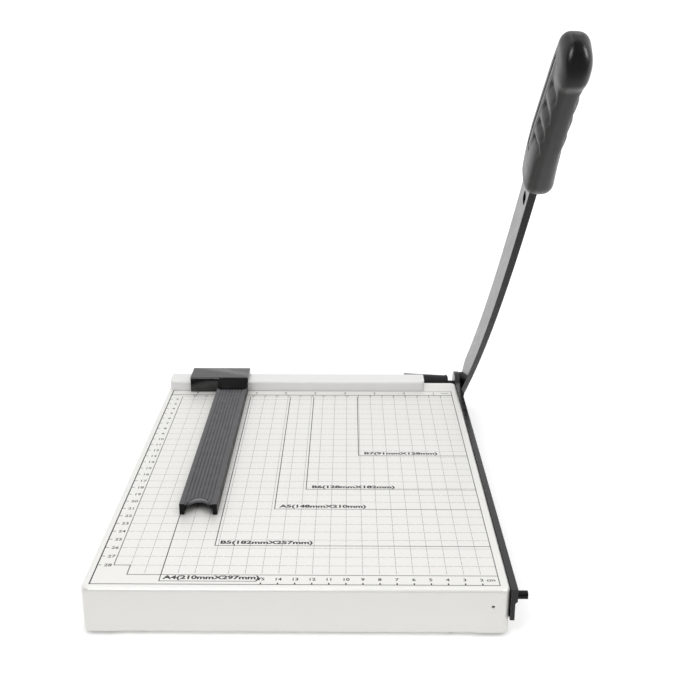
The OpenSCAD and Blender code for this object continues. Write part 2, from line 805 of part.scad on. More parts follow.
// The grip's skin: rings of points along the arm, closed by a point at each end
module grip_skin() {
    rings = len(grip_rings);
    heel = rings * ring_points;
    nose = heel + 1;
    points = concat(
        [for (t = grip_rings) for (k = [0 : ring_points - 1]) grip_point(t, ring_angle(k))],
        [[grip_mid, 0, 0], [grip_mid, -grip_l, 0]]);
    walls = [for (r = [0 : rings - 2]) for (k = [0 : ring_points - 1])
        let (next = (k + 1) % ring_points, low = r * ring_points, high = low + ring_points)
        each [[low + k, high + next, low + next], [low + k, high + k, high + next]]];
    last = (rings - 1) * ring_points;
    caps = [for (k = [0 : ring_points - 1])
        let (next = (k + 1) % ring_points)
        each [[heel, k, next], [nose, last + next, last + k]]];
    polyhedron(points, concat(walls, caps));
}

// Cutter for the channel, at a depth below the grip's inner side, between two heights
module channel_cutter(depth, low, high) {
    steps = 8;
    translate([0, 0, low]) linear_extrude(high - low) polygon(concat(
        [for (k = [0 : steps])
            let (t = channel_start + channel_l * k / steps) [grip_mid - grip_inner(t) + depth, -t]],
        [[grip_mid - grip_w, -channel_start - channel_l], [grip_mid - grip_w, -channel_start]]));
}

module grip() {
    slot_t = arm_t + 2 * seat_clear;
    lane_w = (channel_w - channel_rib_w) / 2;
    color("black") placed() lifted() difference() {
        along_arm(grip_at) difference() {
            grip_skin();
            translate([arm_in - seat_clear, -bar_seat - seat_clear, -arm_w / 2 - seat_clear])
                cube([slot_t, bar_seat + cut_over, arm_w + 2 * seat_clear]);
            translate([arm_in - seat_clear, -bar_seat - tang_l - seat_clear, -tang_w / 2 - seat_clear])
                cube([slot_t, tang_l + cut_over, tang_w + 2 * seat_clear]);
            channel_cutter(channel_rib_in, channel_low, channel_low + channel_w);
            channel_cutter(channel_depth, channel_low, channel_low + lane_w);
            channel_cutter(channel_depth, channel_low + channel_w - lane_w, channel_low + channel_w);
        }
        at_grip_screws() {
            cylinder(d = grip_screw_d + hole_clear, h = grip_screw_l + hole_clear);
            translate([0, 0, -grip_w])
                cylinder(d = grip_screw_d * screw_head_ratio + 4 * seat_clear, h = grip_w);
        }
    }
}

module grip_screws() {
    color("silver") placed() lifted() at_grip_screws() pan_screw(grip_screw_d, grip_screw_l);
}

// Section through the sliding block: a cover over the rail with a front skirt and a rear lip
module block_section() {
    difference() {
        polygon([[block_front, slide_gap], [block_front, block_h - block_bevel],
            [block_front + block_bevel, block_h], [block_back - block_bevel, block_h],
            [block_back, block_h - block_bevel], [block_back, 2 * slide_gap],
            [rail_w, 2 * slide_gap], [rail_w, slide_gap]]);
        translate([-slide_gap, -cut_over]) square([rail_w + 2 * slide_gap, block_ceiling + cut_over]);
    }
}

// Places children at the gauge's screws, along +Z from the underside of the tongue
module at_gauge_screws() {
    for (y = [block_front - tongue_l / 4, block_front - tongue_l * 3 / 4]) {
        translate([gauge_x + gauge_w / 2, y, tongue_low]) children();
    }
}

// A sloping hood on the block's front that covers the arm's rear end
module hood() {
    low = gauge_h + seat_clear;
    intersection() {
        across(gauge_x, gauge_x + gauge_w) polygon([
            [block_front + skirt_t / 2, low], [block_front - hood_l, low],
            [block_front - hood_l, low + hood_t], [block_front, block_h - block_bevel],
            [block_front + skirt_t / 2, block_h - block_bevel]]);
        translate([gauge_x, block_front - hood_l, 0]) linear_extrude(2 * block_h) {
            for (x = [hood_corner_r, gauge_w - hood_corner_r]) {
                translate([x, hood_corner_r]) circle(hood_corner_r);
            }
            translate([hood_corner_r, 0]) square([gauge_w - 2 * hood_corner_r, hood_corner_r]);
            translate([0, hood_corner_r]) square([gauge_w, hood_l + skirt_t]);
        }
    }
}

module gauge_block() {
    corner = leg_t;
    recess_l = leaf_l + 2 * leaf_rise;
    color("black") placed() difference() {
        union() {
            across(block_x, block_x + block_l) block_section();
            hood();
            translate([gauge_x + leg_t + seat_clear, block_front - tongue_l, tongue_low])
                cube([tongue_w, tongue_l + skirt_t / 2, tongue_h]);
        }
        translate([block_x + block_l, block_front + skirt_t / 2, slide_gap]) rotate([0, 0, 45])
            cube([corner, corner, 2 * gauge_h], center = true);
        translate([block_x + (block_l - recess_l) / 2, (rail_w - leaf_w) / 2 - seat_clear,
            block_ceiling - cut_over]) cube([recess_l, leaf_w + 2 * seat_clear, leaf_recess + cut_over]);
        at_gauge_screws() {
            hole_d = gauge_screw_d + 2 * hole_clear;
            translate([0, 0, -cut_over]) cylinder(d = hole_d, h = tongue_h + 2 * cut_over);
            cylinder(d1 = 2 * hole_d, d2 = hole_d, h = hole_d / 2);
        }
    }
}

// Section through the gauge's arm: a grooved roof on two legs
module gauge_section() {
    difference() {
        square([gauge_w, gauge_h - slide_gap]);
        translate([leg_t, -cut_over]) square([gauge_w - 2 * leg_t, roof_low - slide_gap + cut_over]);
        for (k = [0 : grooves - 1]) {
            groove_x = gauge_w / 2 + (k - (grooves - 1) / 2) * groove_pitch - groove_w / 2;
            translate([groove_x, gauge_h - slide_gap - groove_depth])
                square([groove_w, groove_depth + cut_over]);
        }
    }
}

module gauge_arm() {
    notch_back = notch_deep - gauge_reach - notch_r / cos(notch_slope);
    color("dimgray") placed() difference() {
        translate([gauge_x, block_front, slide_gap]) rotate([90, 0, 0])
            linear_extrude(gauge_reach + block_front) gauge_section();
        translate([gauge_x + gauge_w / 2, notch_back, gauge_h]) rotate([-notch_slope, 0, 0])
            cylinder(r = notch_r, h = 4 * gauge_h, center = true);
        at_gauge_screws() cylinder(d = gauge_screw_d + hole_clear, h = gauge_screw_l + hole_clear);
    }
}

module gauge_screws() {
    color("silver") placed() at_gauge_screws() flat_screw(gauge_screw_d, gauge_screw_l);
}

// A thin arched leaf whose ends press on the rail and whose middle presses on the block
module gauge_spring() {
    bow_r = (leaf_l * leaf_l / 4 + leaf_rise * leaf_rise) / (2 * leaf_rise);
    top = block_ceiling + leaf_recess - seat_clear;
    color("silver") placed() translate([block_x + block_l / 2, (rail_w + leaf_w) / 2, top - bow_r])
        rotate([90, 0, 0]) linear_extrude(leaf_w) intersection() {
            difference() {
                circle(bow_r, $fn = arc_fn);
                circle(bow_r - leaf_t, $fn = arc_fn);
            }
            translate([-leaf_l / 2, 0]) square([leaf_l, 2 * bow_r]);
        }
}

base_tray();
rubber_feet();
fixed_blade();
fixed_blade_screws();
stop_pin();
paper_rail();
rail_screws();
pivot_bolt();
head_washer();
spring_housing();
pivot_spring();
spring_washer();
pivot_nut();
blade_arm();
grip();
grip_screws();
gauge_block();
gauge_arm();
gauge_screws();
gauge_spring();
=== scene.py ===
"""Guillotine paper trimmer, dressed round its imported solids.

The finishes, the deck's printed scales and the pieces that repeat or follow a rule are made here.
Sizes are in millimetres from the trimmer's own zero: X from the cutting plane, Y from the front of
the paper rail, Z from the deck. Blender's own units are metres, in the frame of the solids.
"""

import logging
import math
from dataclasses import dataclass, replace
from enum import Enum

import bmesh
import bpy
from mathutils import Matrix, Vector


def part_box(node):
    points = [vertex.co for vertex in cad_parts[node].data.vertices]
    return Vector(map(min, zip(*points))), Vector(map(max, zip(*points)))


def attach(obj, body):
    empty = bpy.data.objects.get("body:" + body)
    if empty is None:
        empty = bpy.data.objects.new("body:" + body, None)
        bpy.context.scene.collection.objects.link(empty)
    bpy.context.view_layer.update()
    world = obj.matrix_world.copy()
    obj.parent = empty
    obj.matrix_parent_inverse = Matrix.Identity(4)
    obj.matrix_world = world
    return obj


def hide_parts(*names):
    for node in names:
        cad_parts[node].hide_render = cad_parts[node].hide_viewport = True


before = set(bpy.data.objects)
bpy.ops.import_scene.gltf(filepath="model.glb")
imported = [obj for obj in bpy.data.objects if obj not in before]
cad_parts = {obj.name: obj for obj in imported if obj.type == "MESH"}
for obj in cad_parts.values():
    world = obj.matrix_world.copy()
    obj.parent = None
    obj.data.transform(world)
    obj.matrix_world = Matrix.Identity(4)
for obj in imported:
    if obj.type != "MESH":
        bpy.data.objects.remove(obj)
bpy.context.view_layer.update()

LOG = logging.getLogger("paper_trimmer")
MM = 0.001
QUARTER_TURN = math.pi / 2
# Most values of a noise pattern lie between these two
NOISE_LOW = 0.3
NOISE_HIGH = 0.7
# How many finer layers a noise pattern has
FINE_DETAIL = 3.0
FULL_DETAIL = 4.0

Colour = tuple[float, float, float]
Point = tuple[float, float, float]
Pair = tuple[float, float]
Mesh = bpy.types.Mesh
Node = bpy.types.Node
Object = bpy.types.Object
Socket = bpy.types.NodeSocket


class Body(Enum):
    """The three bodies that pieces ride on."""

    BASE = "base"
    ARM = "arm"
    GAUGE = "gauge"


class Slot(Enum):
    """Names of the record's material slots."""

    ZINC = "zinc"
    SPRING = "spring_steel"
    BLACK = "black_plastic"


class Align(Enum):
    """Which point of a line of words stands at its place."""

    LEFT = "LEFT"
    MIDDLE = "CENTER"


class Keep(Enum):
    """Which side of a cut stays."""

    OUTSIDE = "DIFFERENCE"
    INSIDE = "INTERSECT"


class Axis(Enum):
    """A way along one of the frame's axes."""

    RIGHT = "right"
    LEFT = "left"
    UP = "up"


@dataclass(frozen=True)
class Zero:
    """The trimmer's own zero in the frame: cutting plane, rail front and deck, in metres."""

    cut_x: float
    rail_y: float
    deck_z: float

    @classmethod
    def from_solids(cls) -> "Zero":
        """Reads the zero from the boxes of the solids."""
        return cls(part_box("fixed_blade")[1].x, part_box("paper_rail")[0].y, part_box("base_tray")[1].z)

    def at(self, x: float, y: float, z: float = 0.0) -> Vector:
        """A point in metres from millimetres off the zero."""
        return Vector((self.cut_x + x * MM, self.rail_y + y * MM, self.deck_z + z * MM))


class Bench:
    """Adds nodes to one tree and links them."""

    def __init__(self, tree: bpy.types.NodeTree) -> None:
        """Takes the tree to work on."""
        self.tree = tree

    def add(self, kind: str, inputs: dict | None = None, **settings) -> Node:
        """Adds a node.

        Args:
            kind: The node's type name.
            inputs: Values or output sockets, by the name or number of the input.
            **settings: Properties of the node itself.

        Returns:
            The new node.
        """
        node = self.tree.nodes.new(kind)
        for key, value in settings.items():
            setattr(node, key, value)
        for key, value in (inputs or {}).items():
            if isinstance(value, Socket):
                self.link(value, node, key)
            else:
                node.inputs[key].default_value = value
        return node

    def result(self, kind: str, inputs: dict | None = None, **settings) -> Socket:
        """Adds a node and gives back its first output."""
        return self.add(kind, inputs, **settings).outputs[0]

    def link(self, source: Socket, node: Node, key: str | int) -> None:
        """Links an output to a node's input."""
        self.tree.links.new(source, node.inputs[key])

    def where(self, kind: str) -> Socket:
        """One of the surface's coordinates, such as Object or Normal."""
        return self.add("ShaderNodeTexCoord").outputs[kind]

    def parts(self, vector: Socket) -> dict[str, Socket]:
        """A vector's X, Y and Z."""
        return {part.name: part for part in self.add("ShaderNodeSeparateXYZ", {0: vector}).outputs}

    def math(self, operation: str, first: object, second: object) -> Socket:
        """A Math node's result."""
        return self.result("ShaderNodeMath", {0: first, 1: second}, operation=operation)

    def product(self, first: object, second: object) -> Socket:
        """Two values multiplied."""
        return self.math("MULTIPLY", first, second)

    def ramp(self, value: object, low: float, high: float, start: float = 0.0, end: float = 1.0) -> Socket:
        """A value spread from low and high to start and end."""
        spans = {"Value": value, "From Min": low, "From Max": high, "To Min": start, "To Max": end}
        return self.result("ShaderNodeMapRange", spans)

    def noise(self, place: Socket, scale: float, detail: float = FULL_DETAIL) -> Socket:
        """A noise pattern's value."""
        return self.result("ShaderNodeTexNoise", {"Vector": place, "Scale": scale, "Detail": detail})

    def spread(self, noise: Socket, start: float = 0.0, end: float = 1.0) -> Socket:
        """A noise pattern spread from start to end."""
        return self.ramp(noise, NOISE_LOW, NOISE_HIGH, start, end)

    def blend(self, share: Socket, first: object, second: object) -> Socket:
        """Two colours mixed by a share that changes over the surface."""
        return self.add("ShaderNodeMix", {0: share, 6: first, 7: second}, data_type="RGBA").outputs[2]


def tinted(colour: Colour, factor: float = 1.0) -> tuple[float, float, float, float]:
    """A colour with full cover, made lighter or darker by a factor."""
    return (*[min(1.0, channel * factor) for channel in colour], 1.0)


@dataclass(frozen=True)
class Finish:
    """A painted, moulded or plated surface: drifting tone, uneven gloss, fine relief, rubbed edges."""

    name: str
    colour: Colour
    roughness: float
    metallic: float = 0.0
    specular: float = 0.5
    drift: float = 0.05
    drift_scale: float = 22.0
    gloss_spread: float = 0.07
    gloss_scale: float = 150.0
    grain_scale: float = 2400.0
    grain_depth: float = 0.000012
    edge_round: float = 0.0003
    rub: float = 0.0
    rub_colour: Colour = (0.3, 0.3, 0.3)
    rub_reach: float = 3.0
    rub_turn: Pair = (0.995, 0.9)
    rub_scale: float = 700.0
    rub_broken: Pair = (0.35, 0.65)

    def material(self) -> bpy.types.Material:
        """Builds the finish once, and gives back the same material after that.

        Returns:
            The material.
        """
        found = bpy.data.materials.get(self.name)
        if found:
            return found
        material = bpy.data.materials.new(self.name)
        material.use_nodes = True
        bench = Bench(material.node_tree)
        shader = material.node_tree.nodes["Principled BSDF"]
        shader.inputs["Specular IOR Level"].default_value = self.specular
        place = bench.where("Object")
        self.lay_colour(bench, shader, place)
        self.lay_relief(bench, shader, place)
        material.diffuse_color = tinted(self.colour)
        return material

    def paint(self, bench: Bench, place: Socket) -> Socket:
        """The colour with its slow drift and, where the finish has it, the rub-off.

        Args:
            bench: The material's nodes.
            place: The surface's Object coordinates.

        Returns:
            The colour.
        """
        tone = bench.spread(bench.noise(place, self.drift_scale))
        colour = bench.blend(tone, tinted(self.colour, 1 - self.drift), tinted(self.colour, 1 + self.drift))
        if self.rub:
            colour = bench.blend(self.rubbed(bench, place), colour, tinted(self.rub_colour))
        return colour

    def rubbed(self, bench: Bench, place: Socket) -> Socket:
        """The share of rub-off, which lies along the edges and breaks up.

        Args:
            bench: The material's nodes.
            place: The surface's Object coordinates.

        Returns:
            The share, from 0 to the finish's rub.
        """
        soft = bench.result("ShaderNodeBevel", {"Radius": self.rub_reach * self.edge_round}, samples=4)
        flat = bench.add("ShaderNodeNewGeometry").outputs["Normal"]
        turn = bench.add("ShaderNodeVectorMath", {0: soft, 1: flat}, operation="DOT_PRODUCT")
        edge = bench.ramp(turn.outputs["Value"], *self.rub_turn)
        broken = bench.ramp(bench.noise(place, self.rub_scale), *self.rub_broken)
        return bench.product(bench.product(edge, broken), self.rub)

    def lay_colour(self, bench: Bench, shader: Node, place: Socket) -> None:
        """Links colour and gloss to the shader.

        Args:
            bench: The material's nodes.
            shader: The material's shader.
            place: The surface's Object coordinates.
        """
        bench.link(self.paint(bench, place), shader, "Base Color")
        shader.inputs["Metallic"].default_value = self.metallic
        gloss = bench.noise(place, self.gloss_scale, FINE_DETAIL)
        low, high = self.roughness - self.gloss_spread, self.roughness + self.gloss_spread
        bench.link(bench.spread(gloss, low, high), shader, "Roughness")

    def lay_relief(self, bench: Bench, shader: Node, place: Socket) -> None:
        """Links fine grain and rounded edges to the shader's normal.

        Args:
            bench: The material's nodes.
            shader: The material's shader.
            place: The surface's Object coordinates.
        """
        grain = bench.noise(place, self.grain_scale, FINE_DETAIL)
        bump = bench.add("ShaderNodeBump", {"Height": grain, "Distance": self.grain_depth, "Strength": 1.0})
        if self.edge_round:
            soft = bench.result("ShaderNodeBevel", {"Radius": self.edge_round}, samples=6)
            bench.link(soft, bump, "Normal")
        bench.link(bump.outputs[0], shader, "Normal")


@dataclass(frozen=True)
class GroundBarFinish(Finish):
    """Dark paint on a bar whose inner face is ground bright beyond a slanted line near the pivot; short of
    that line the inner face carries painted shade.
    """

    pivot: Point = (0.0, 0.0, 0.0)
    lift: float = 0.0
    start_upper: float = 21.0
    start_lower: float = 80.0
    half_width: float = 9.0
    line_soft: float = 1.5
    # Where the painted shade on the inner face fades from near black to its lighter edge, short of the
    # slanted line
    thin_from: float = 24.0
    thin_to: float = 3.0
    inner_face: Pair = (-0.5, -0.8)
    bright: Colour = (0.225, 0.225, 0.233)
    bright_spread: Pair = (0.92, 1.06)
    # Painted shade on the inner face near the pivot: shaded is near black, thin is its lighter edge nearer
    # the slanted line
    shaded: Colour = (0.004, 0.004, 0.004)
    thin: Colour = (0.09, 0.09, 0.093)
    bright_roughness: float = 0.36
    streak_scale: float = 1500.0
    streak_squeeze: Point = (1.0, 0.03, 1.0)

    def lay_colour(self, bench: Bench, shader: Node, place: Socket) -> None:
        """Links paint, painted shade and ground steel to the shader, by face and by the slanted line.

        Args:
            bench: The material's nodes.
            shader: The material's shader.
            place: The surface's Object coordinates.
        """
        turned = {"Vector": place, "Location": self.pivot, "Rotation": (-self.lift, 0.0, 0.0)}
        own = bench.result("ShaderNodeMapping", turned, vector_type="TEXTURE")
        parts = bench.parts(own)
        slope = (self.start_lower - self.start_upper) / (2 * self.half_width)
        middle = (self.start_lower + self.start_upper) / 2
        beyond = bench.math("SUBTRACT", bench.product(parts["Z"], slope), parts["Y"])
        past_line = bench.ramp(beyond, (middle - self.line_soft) * MM, (middle + self.line_soft) * MM)
        inner = bench.ramp(bench.parts(bench.where("Normal"))["X"], *self.inner_face)
        ground = bench.product(past_line, inner)
        along = bench.result("ShaderNodeMapping", {"Vector": own, "Scale": self.streak_squeeze})
        streak = bench.noise(along, self.streak_scale)
        # Painted shade on the painted inner face near the pivot, from near black to a lighter grey towards
        # the slanted line
        wear_and_painted_light = bench.ramp(beyond, (middle - self.thin_from) * MM, (middle - self.thin_to) * MM)
        inside = bench.blend(wear_and_painted_light, tinted(self.shaded), tinted(self.thin))
        painted = bench.blend(inner, self.paint(bench, place), inside)
        darker, lighter = (tinted(self.bright, factor) for factor in self.bright_spread)
        steel = bench.blend(bench.spread(streak), darker, lighter)
        bench.link(bench.blend(ground, painted, steel), shader, "Base Color")
        bench.link(ground, shader, "Metallic")
        # The painted inner face loses its gloss, so that its painted shade stays dark
        dull = bench.ramp(bench.math("SUBTRACT", inner, ground), 0.0, 1.0, self.specular, 0.0)
        bench.link(dull, shader, "Specular IOR Level")
        gloss = bench.spread(streak, -self.gloss_spread, self.gloss_spread)
        level = bench.ramp(ground, 0.0, 1.0, self.roughness, self.bright_roughness)
        bench.link(bench.math("ADD", gloss, level), shader, "Roughness")


@dataclass(frozen=True)
class TopWornFinish(Finish):
    """Dark plastic with painted light: faces that look up are painted pale as if lit from above, and its
    thumb notch has a painted highlight along the rim.
    """

    # The plastic's own near-black colour, kept on faces that don't look up
    dark: Colour = (0.005, 0.005, 0.0052)
    dark_specular: float = 0.12
    up_face: Pair = (0.2, 0.75)
    # Painted highlight along the rim of the thumb notch
    rim: Colour = (0.24, 0.24, 0.25)
    rim_face: Pair = (-0.1, -0.3)
    rim_deep: float = 1.0
    rim_half: float = 0.6
    top: float = 0.0

    def lay_colour(self, bench: Bench, shader: Node, place: Socket) -> None:
        """Links colour, gloss and sheen to the shader, by the way that a face looks: painted top light, a
        painted highlight on the notch's rim, less gloss on other faces.

        Args:
            bench: The material's nodes.
            shader: The material's shader.
            place: The surface's Object coordinates.
        """
        super().lay_colour(bench, shader, place)
        way = bench.parts(bench.where("Normal"))
        # Painted top light: faces that look up take the pale colour, the others keep the dark one
        up = bench.ramp(way["Z"], *self.up_face)
        aslant = bench.ramp(way["Y"], *self.rim_face)
        height = bench.parts(place)["Z"]
        middle, half = self.top - self.rim_deep * MM, self.rim_half * MM
        over = bench.ramp(height, middle - half, middle)
        under = bench.ramp(height, middle + half, middle)
        # Painted highlight on a band just under the top, on faces that lean forward: the notch's rim
        near_rim = bench.product(aslant, bench.product(over, under))
        wear_and_painted_light = shader.inputs["Base Color"].links[0].from_socket
        wear_and_painted_light = bench.blend(near_rim, wear_and_painted_light, tinted(self.rim))
        bench.link(bench.blend(up, tinted(self.dark), wear_and_painted_light), shader, "Base Color")
        # Faces that don't look up get less gloss, beside the painted top light
        sheen = bench.ramp(up, 0.0, 1.0, self.dark_specular, self.specular)
        bench.link(sheen, shader, "Specular IOR Level")


class Paint:
    """The trimmer's finishes by what they are."""

    ENAMEL = Finish(
        "white_enamel", (0.858, 0.836, 0.778), 0.34, drift=0.012, drift_scale=9.0, gloss_spread=0.05,
        grain_scale=900.0, grain_depth=0.00001, edge_round=0.0,
    )
    RAIL = Finish(
        "white_rail_plastic", (0.80, 0.795, 0.785), 0.42, drift=0.012, grain_scale=2600.0, edge_round=0.0004
    )
    DARK_STEEL = Finish(
        "dark_painted_steel", (0.006, 0.006, 0.0064), 0.26, specular=0.42, drift=0.14, drift_scale=60.0,
        edge_round=0.0004, rub=0.35, rub_colour=(0.12, 0.12, 0.125),
    )
    BLACKENED = Finish(
        "blackened_steel", (0.004, 0.004, 0.0042), 0.45, specular=0.2, drift=0.14, drift_scale=200.0,
        edge_round=0.0002, rub=0.25, rub_colour=(0.06, 0.06, 0.062),
    )
    BLACK = Finish(
        "black_moulded_plastic", (0.008, 0.008, 0.0085), 0.32, specular=0.42, drift=0.12, drift_scale=40.0,
        gloss_spread=0.05, grain_scale=3200.0, grain_depth=0.000006, edge_round=0.0007,
        rub=0.2, rub_colour=(0.07, 0.07, 0.072),
    )
    # Painted top light: this pale grey shows only on faces that look up; the plastic itself is near black
    GREY = TopWornFinish(
        "grey_ribbed_plastic", (0.05, 0.05, 0.055), 0.4, drift=0.08, drift_scale=35.0, grain_scale=3000.0,
        grain_depth=0.000008, rub=0.3, rub_colour=(0.09, 0.09, 0.096),
    )
    BLOCK = Finish(
        "black_block_plastic", (0.007, 0.007, 0.0075), 0.2, drift=0.12, drift_scale=40.0, gloss_spread=0.04,
        grain_scale=3000.0, grain_depth=0.000005, edge_round=0.0004,
        rub=0.3, rub_colour=(0.08, 0.08, 0.083),
    )
    # Painted shade: a darker, duller copy of the block's plastic for its shoulder over the arm's rear end
    MATT_BLACK = Finish(
        "matt_black_plastic", (0.004, 0.004, 0.0042), 0.62, specular=0.1, drift=0.12, drift_scale=60.0,
        grain_scale=2600.0, grain_depth=0.00001, edge_round=0.0004,
        rub=0.15, rub_colour=(0.03, 0.03, 0.031),
    )
    SLEEVE = Finish(
        "black_sleeve_plastic", (0.007, 0.007, 0.0075), 0.42, specular=0.22, drift=0.12, drift_scale=60.0,
        grain_scale=2600.0,
    )
    RUBBER = Finish(
        "foot_rubber", (0.03, 0.03, 0.03), 0.75, drift=0.2, drift_scale=90.0, grain_scale=1500.0,
        grain_depth=0.00003, edge_round=0.0004,
    )
    ZINC = Finish(
        "zinc_plate", (0.60, 0.60, 0.59), 0.34, metallic=1.0, drift=0.1, drift_scale=220.0,
        gloss_spread=0.1, gloss_scale=600.0, edge_round=0.0002,
    )
    SPRING = Finish(
        "spring_steel", (0.34, 0.335, 0.33), 0.32, metallic=1.0, drift=0.15, drift_scale=300.0,
        edge_round=0.0,
    )
    INK = Finish(
        "print_dark", (0.018, 0.018, 0.02), 0.55, drift=0.35, drift_scale=120.0, gloss_spread=0.1,
        edge_round=0.0,
    )
    INK_GREY = replace(INK, name="print_grey", colour=(0.16, 0.16, 0.165), drift=0.25)
    INK_PALE = replace(INK, name="print_pale", colour=(0.30, 0.30, 0.31), drift=0.2, drift_scale=90.0)


def new_object(name: str, data: bpy.types.ID) -> Object:
    """An object for a mesh, a text, a lamp or a camera, put in the scene at the origin.

    Args:
        name: The object's name.
        data: What the object shows.

    Returns:
        The object.
    """
    obj = bpy.data.objects.new(name, data)
    bpy.context.scene.collection.objects.link(obj)
    return obj


def settled(obj: Object) -> Mesh:
    """Works out an object's modifiers or its text.

    Args:
        obj: The object, in the scene.

    Returns:
        The plain mesh that it has then.
    """
    bpy.context.view_layer.update()
    graph = bpy.context.evaluated_depsgraph_get()
    return bpy.data.meshes.new_from_object(obj.evaluated_get(graph), depsgraph=graph)


def closed(name: str, points: list, faces: list[tuple[int, ...]]) -> Mesh:
    """A closed mesh.

    Args:
        name: The mesh's name.
        points: Its points.
        faces: The numbers of each face's points.

    Returns:
        The mesh, with its faces looking outwards.
    """
    mesh = bpy.data.meshes.new(name)
    mesh.from_pydata(points, [], faces)
    work = bmesh.new()
    work.from_mesh(mesh)
    bmesh.ops.recalc_face_normals(work, faces=work.faces)
    work.to_mesh(mesh)
    work.free()
    return mesh


def skin(name: str, rings: list[list[Vector]], first: Vector, last: Vector) -> Mesh:
    """A closed skin over rings of points, with a point at each end.

    Args:
        name: The mesh's name.
        rings: Rings of equally many points, in order.
        first: The point that closes the first ring.
        last: The point that closes the last ring.

    Returns:
        The mesh.
    """
    count = len(rings[0])
    points = [point for ring in rings for point in ring] + [first, last]
    faces = []
    for row in range(len(rings) - 1):
        low, high = row * count, (row + 1) * count
        faces += [(low + k, low + (k + 1) % count, high + (k + 1) % count, high + k) for k in range(count)]
    end = (len(rings) - 1) * count
    for k in range(count):
        faces.append((len(points) - 2, (k + 1) % count, k))
        faces.append((len(points) - 1, end + k, end + (k + 1) % count))
    return closed(name, points, faces)


def prism(name: str, outline: list[Pair], low: float, high: float, along: Axis = Axis.RIGHT) -> Mesh:
    """A closed prism.

    Args:
        name: The mesh's name.
        outline: The outline in Y and Z, or in X and Y for a prism that stands up.
        low: Where it starts.
        high: Where it ends.
        along: The way that it runs.

    Returns:
        The mesh.
    """
    count = len(outline)
    if along is Axis.UP:
        points = [(u, v, level) for level in (low, high) for u, v in outline]
    else:
        points = [(level, u, v) for level in (low, high) for u, v in outline]
    faces = [tuple(range(count)), tuple(range(count, 2 * count))]
    faces += [(k, (k + 1) % count, count + (k + 1) % count, count + k) for k in range(count)]
    return closed(name, points, faces)


def carve(mesh: Mesh, tools: list[Mesh], keep: Keep = Keep.OUTSIDE) -> Mesh:
    """Cuts a closed mesh by each tool's shape.

    Args:
        mesh: What is cut.
        tools: The shapes that cut it, also closed.
        keep: Whether the part outside or inside them stays.

    Returns:
        A new mesh.
    """
    body = new_object("carve_body", mesh)
    cutters = [new_object("carve_tool", tool) for tool in tools]
    for cutter in cutters:
        cut = body.modifiers.new("carve", "BOOLEAN")
        cut.operation = keep.value
        cut.solver = "EXACT"
        cut.object = cutter
    result = settled(body)
    for obj in (*cutters, body):
        bpy.data.objects.remove(obj)
    return result


def shade(mesh: Mesh, finish: Finish, angle: float) -> Mesh:
    """Gives a mesh its finish and smooth faces.

    Args:
        mesh: The mesh.
        finish: What it is made of.
        angle: Edges sharper than this stay sharp, in degrees.

    Returns:
        The same mesh.
    """
    mesh.materials.clear()
    mesh.materials.append(finish.material())
    mesh.shade_smooth()
    mesh.set_sharp_from_angle(angle=math.radians(angle))
    return mesh


def joined(name: str, meshes: list[Mesh], finish: Finish) -> Mesh:
    """One mesh from several, which are used up.

    Args:
        name: The new mesh's name.
        meshes: What is joined.
        finish: What all of it is made of.

    Returns:
        The new mesh.
    """
    work = bmesh.new()
    for mesh in meshes:
        work.from_mesh(mesh)
        bpy.data.meshes.remove(mesh)
    for face in work.faces:
        face.material_index = 0
    whole = bpy.data.meshes.new(name)
    work.to_mesh(whole)
    work.free()
    whole.materials.append(finish.material())
    return whole


def fit(name: str, mesh: Mesh, body: Body, slot: Slot | None = None, stands_for: str | None = None) -> None:
    """Puts a finished mesh on its body.

    Args:
        name: The piece's name.
        mesh: Its mesh, already in its place.
        body: The body that it moves with.
        slot: The record's slot for its finish; not used.
        stands_for: The solid that it replaces, if any.
    """
    piece = new_object(name, mesh)
    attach(piece, body.value)
    if stands_for:
        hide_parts(stands_for)
    LOG.info("%s on %s, %d faces", name, body.value, len(mesh.polygons))


def dress(node: str, finish: Finish) -> None:
    """Gives a solid its finish.

    Args:
        node: The solid's name.
        finish: What it is made of.
    """
    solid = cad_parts[node]
    if not solid.material_slots:
        solid.data.materials.append(finish.material())
    for place in solid.material_slots:
        place.material = finish.material()
    LOG.info("%s in %s", node, finish.name)


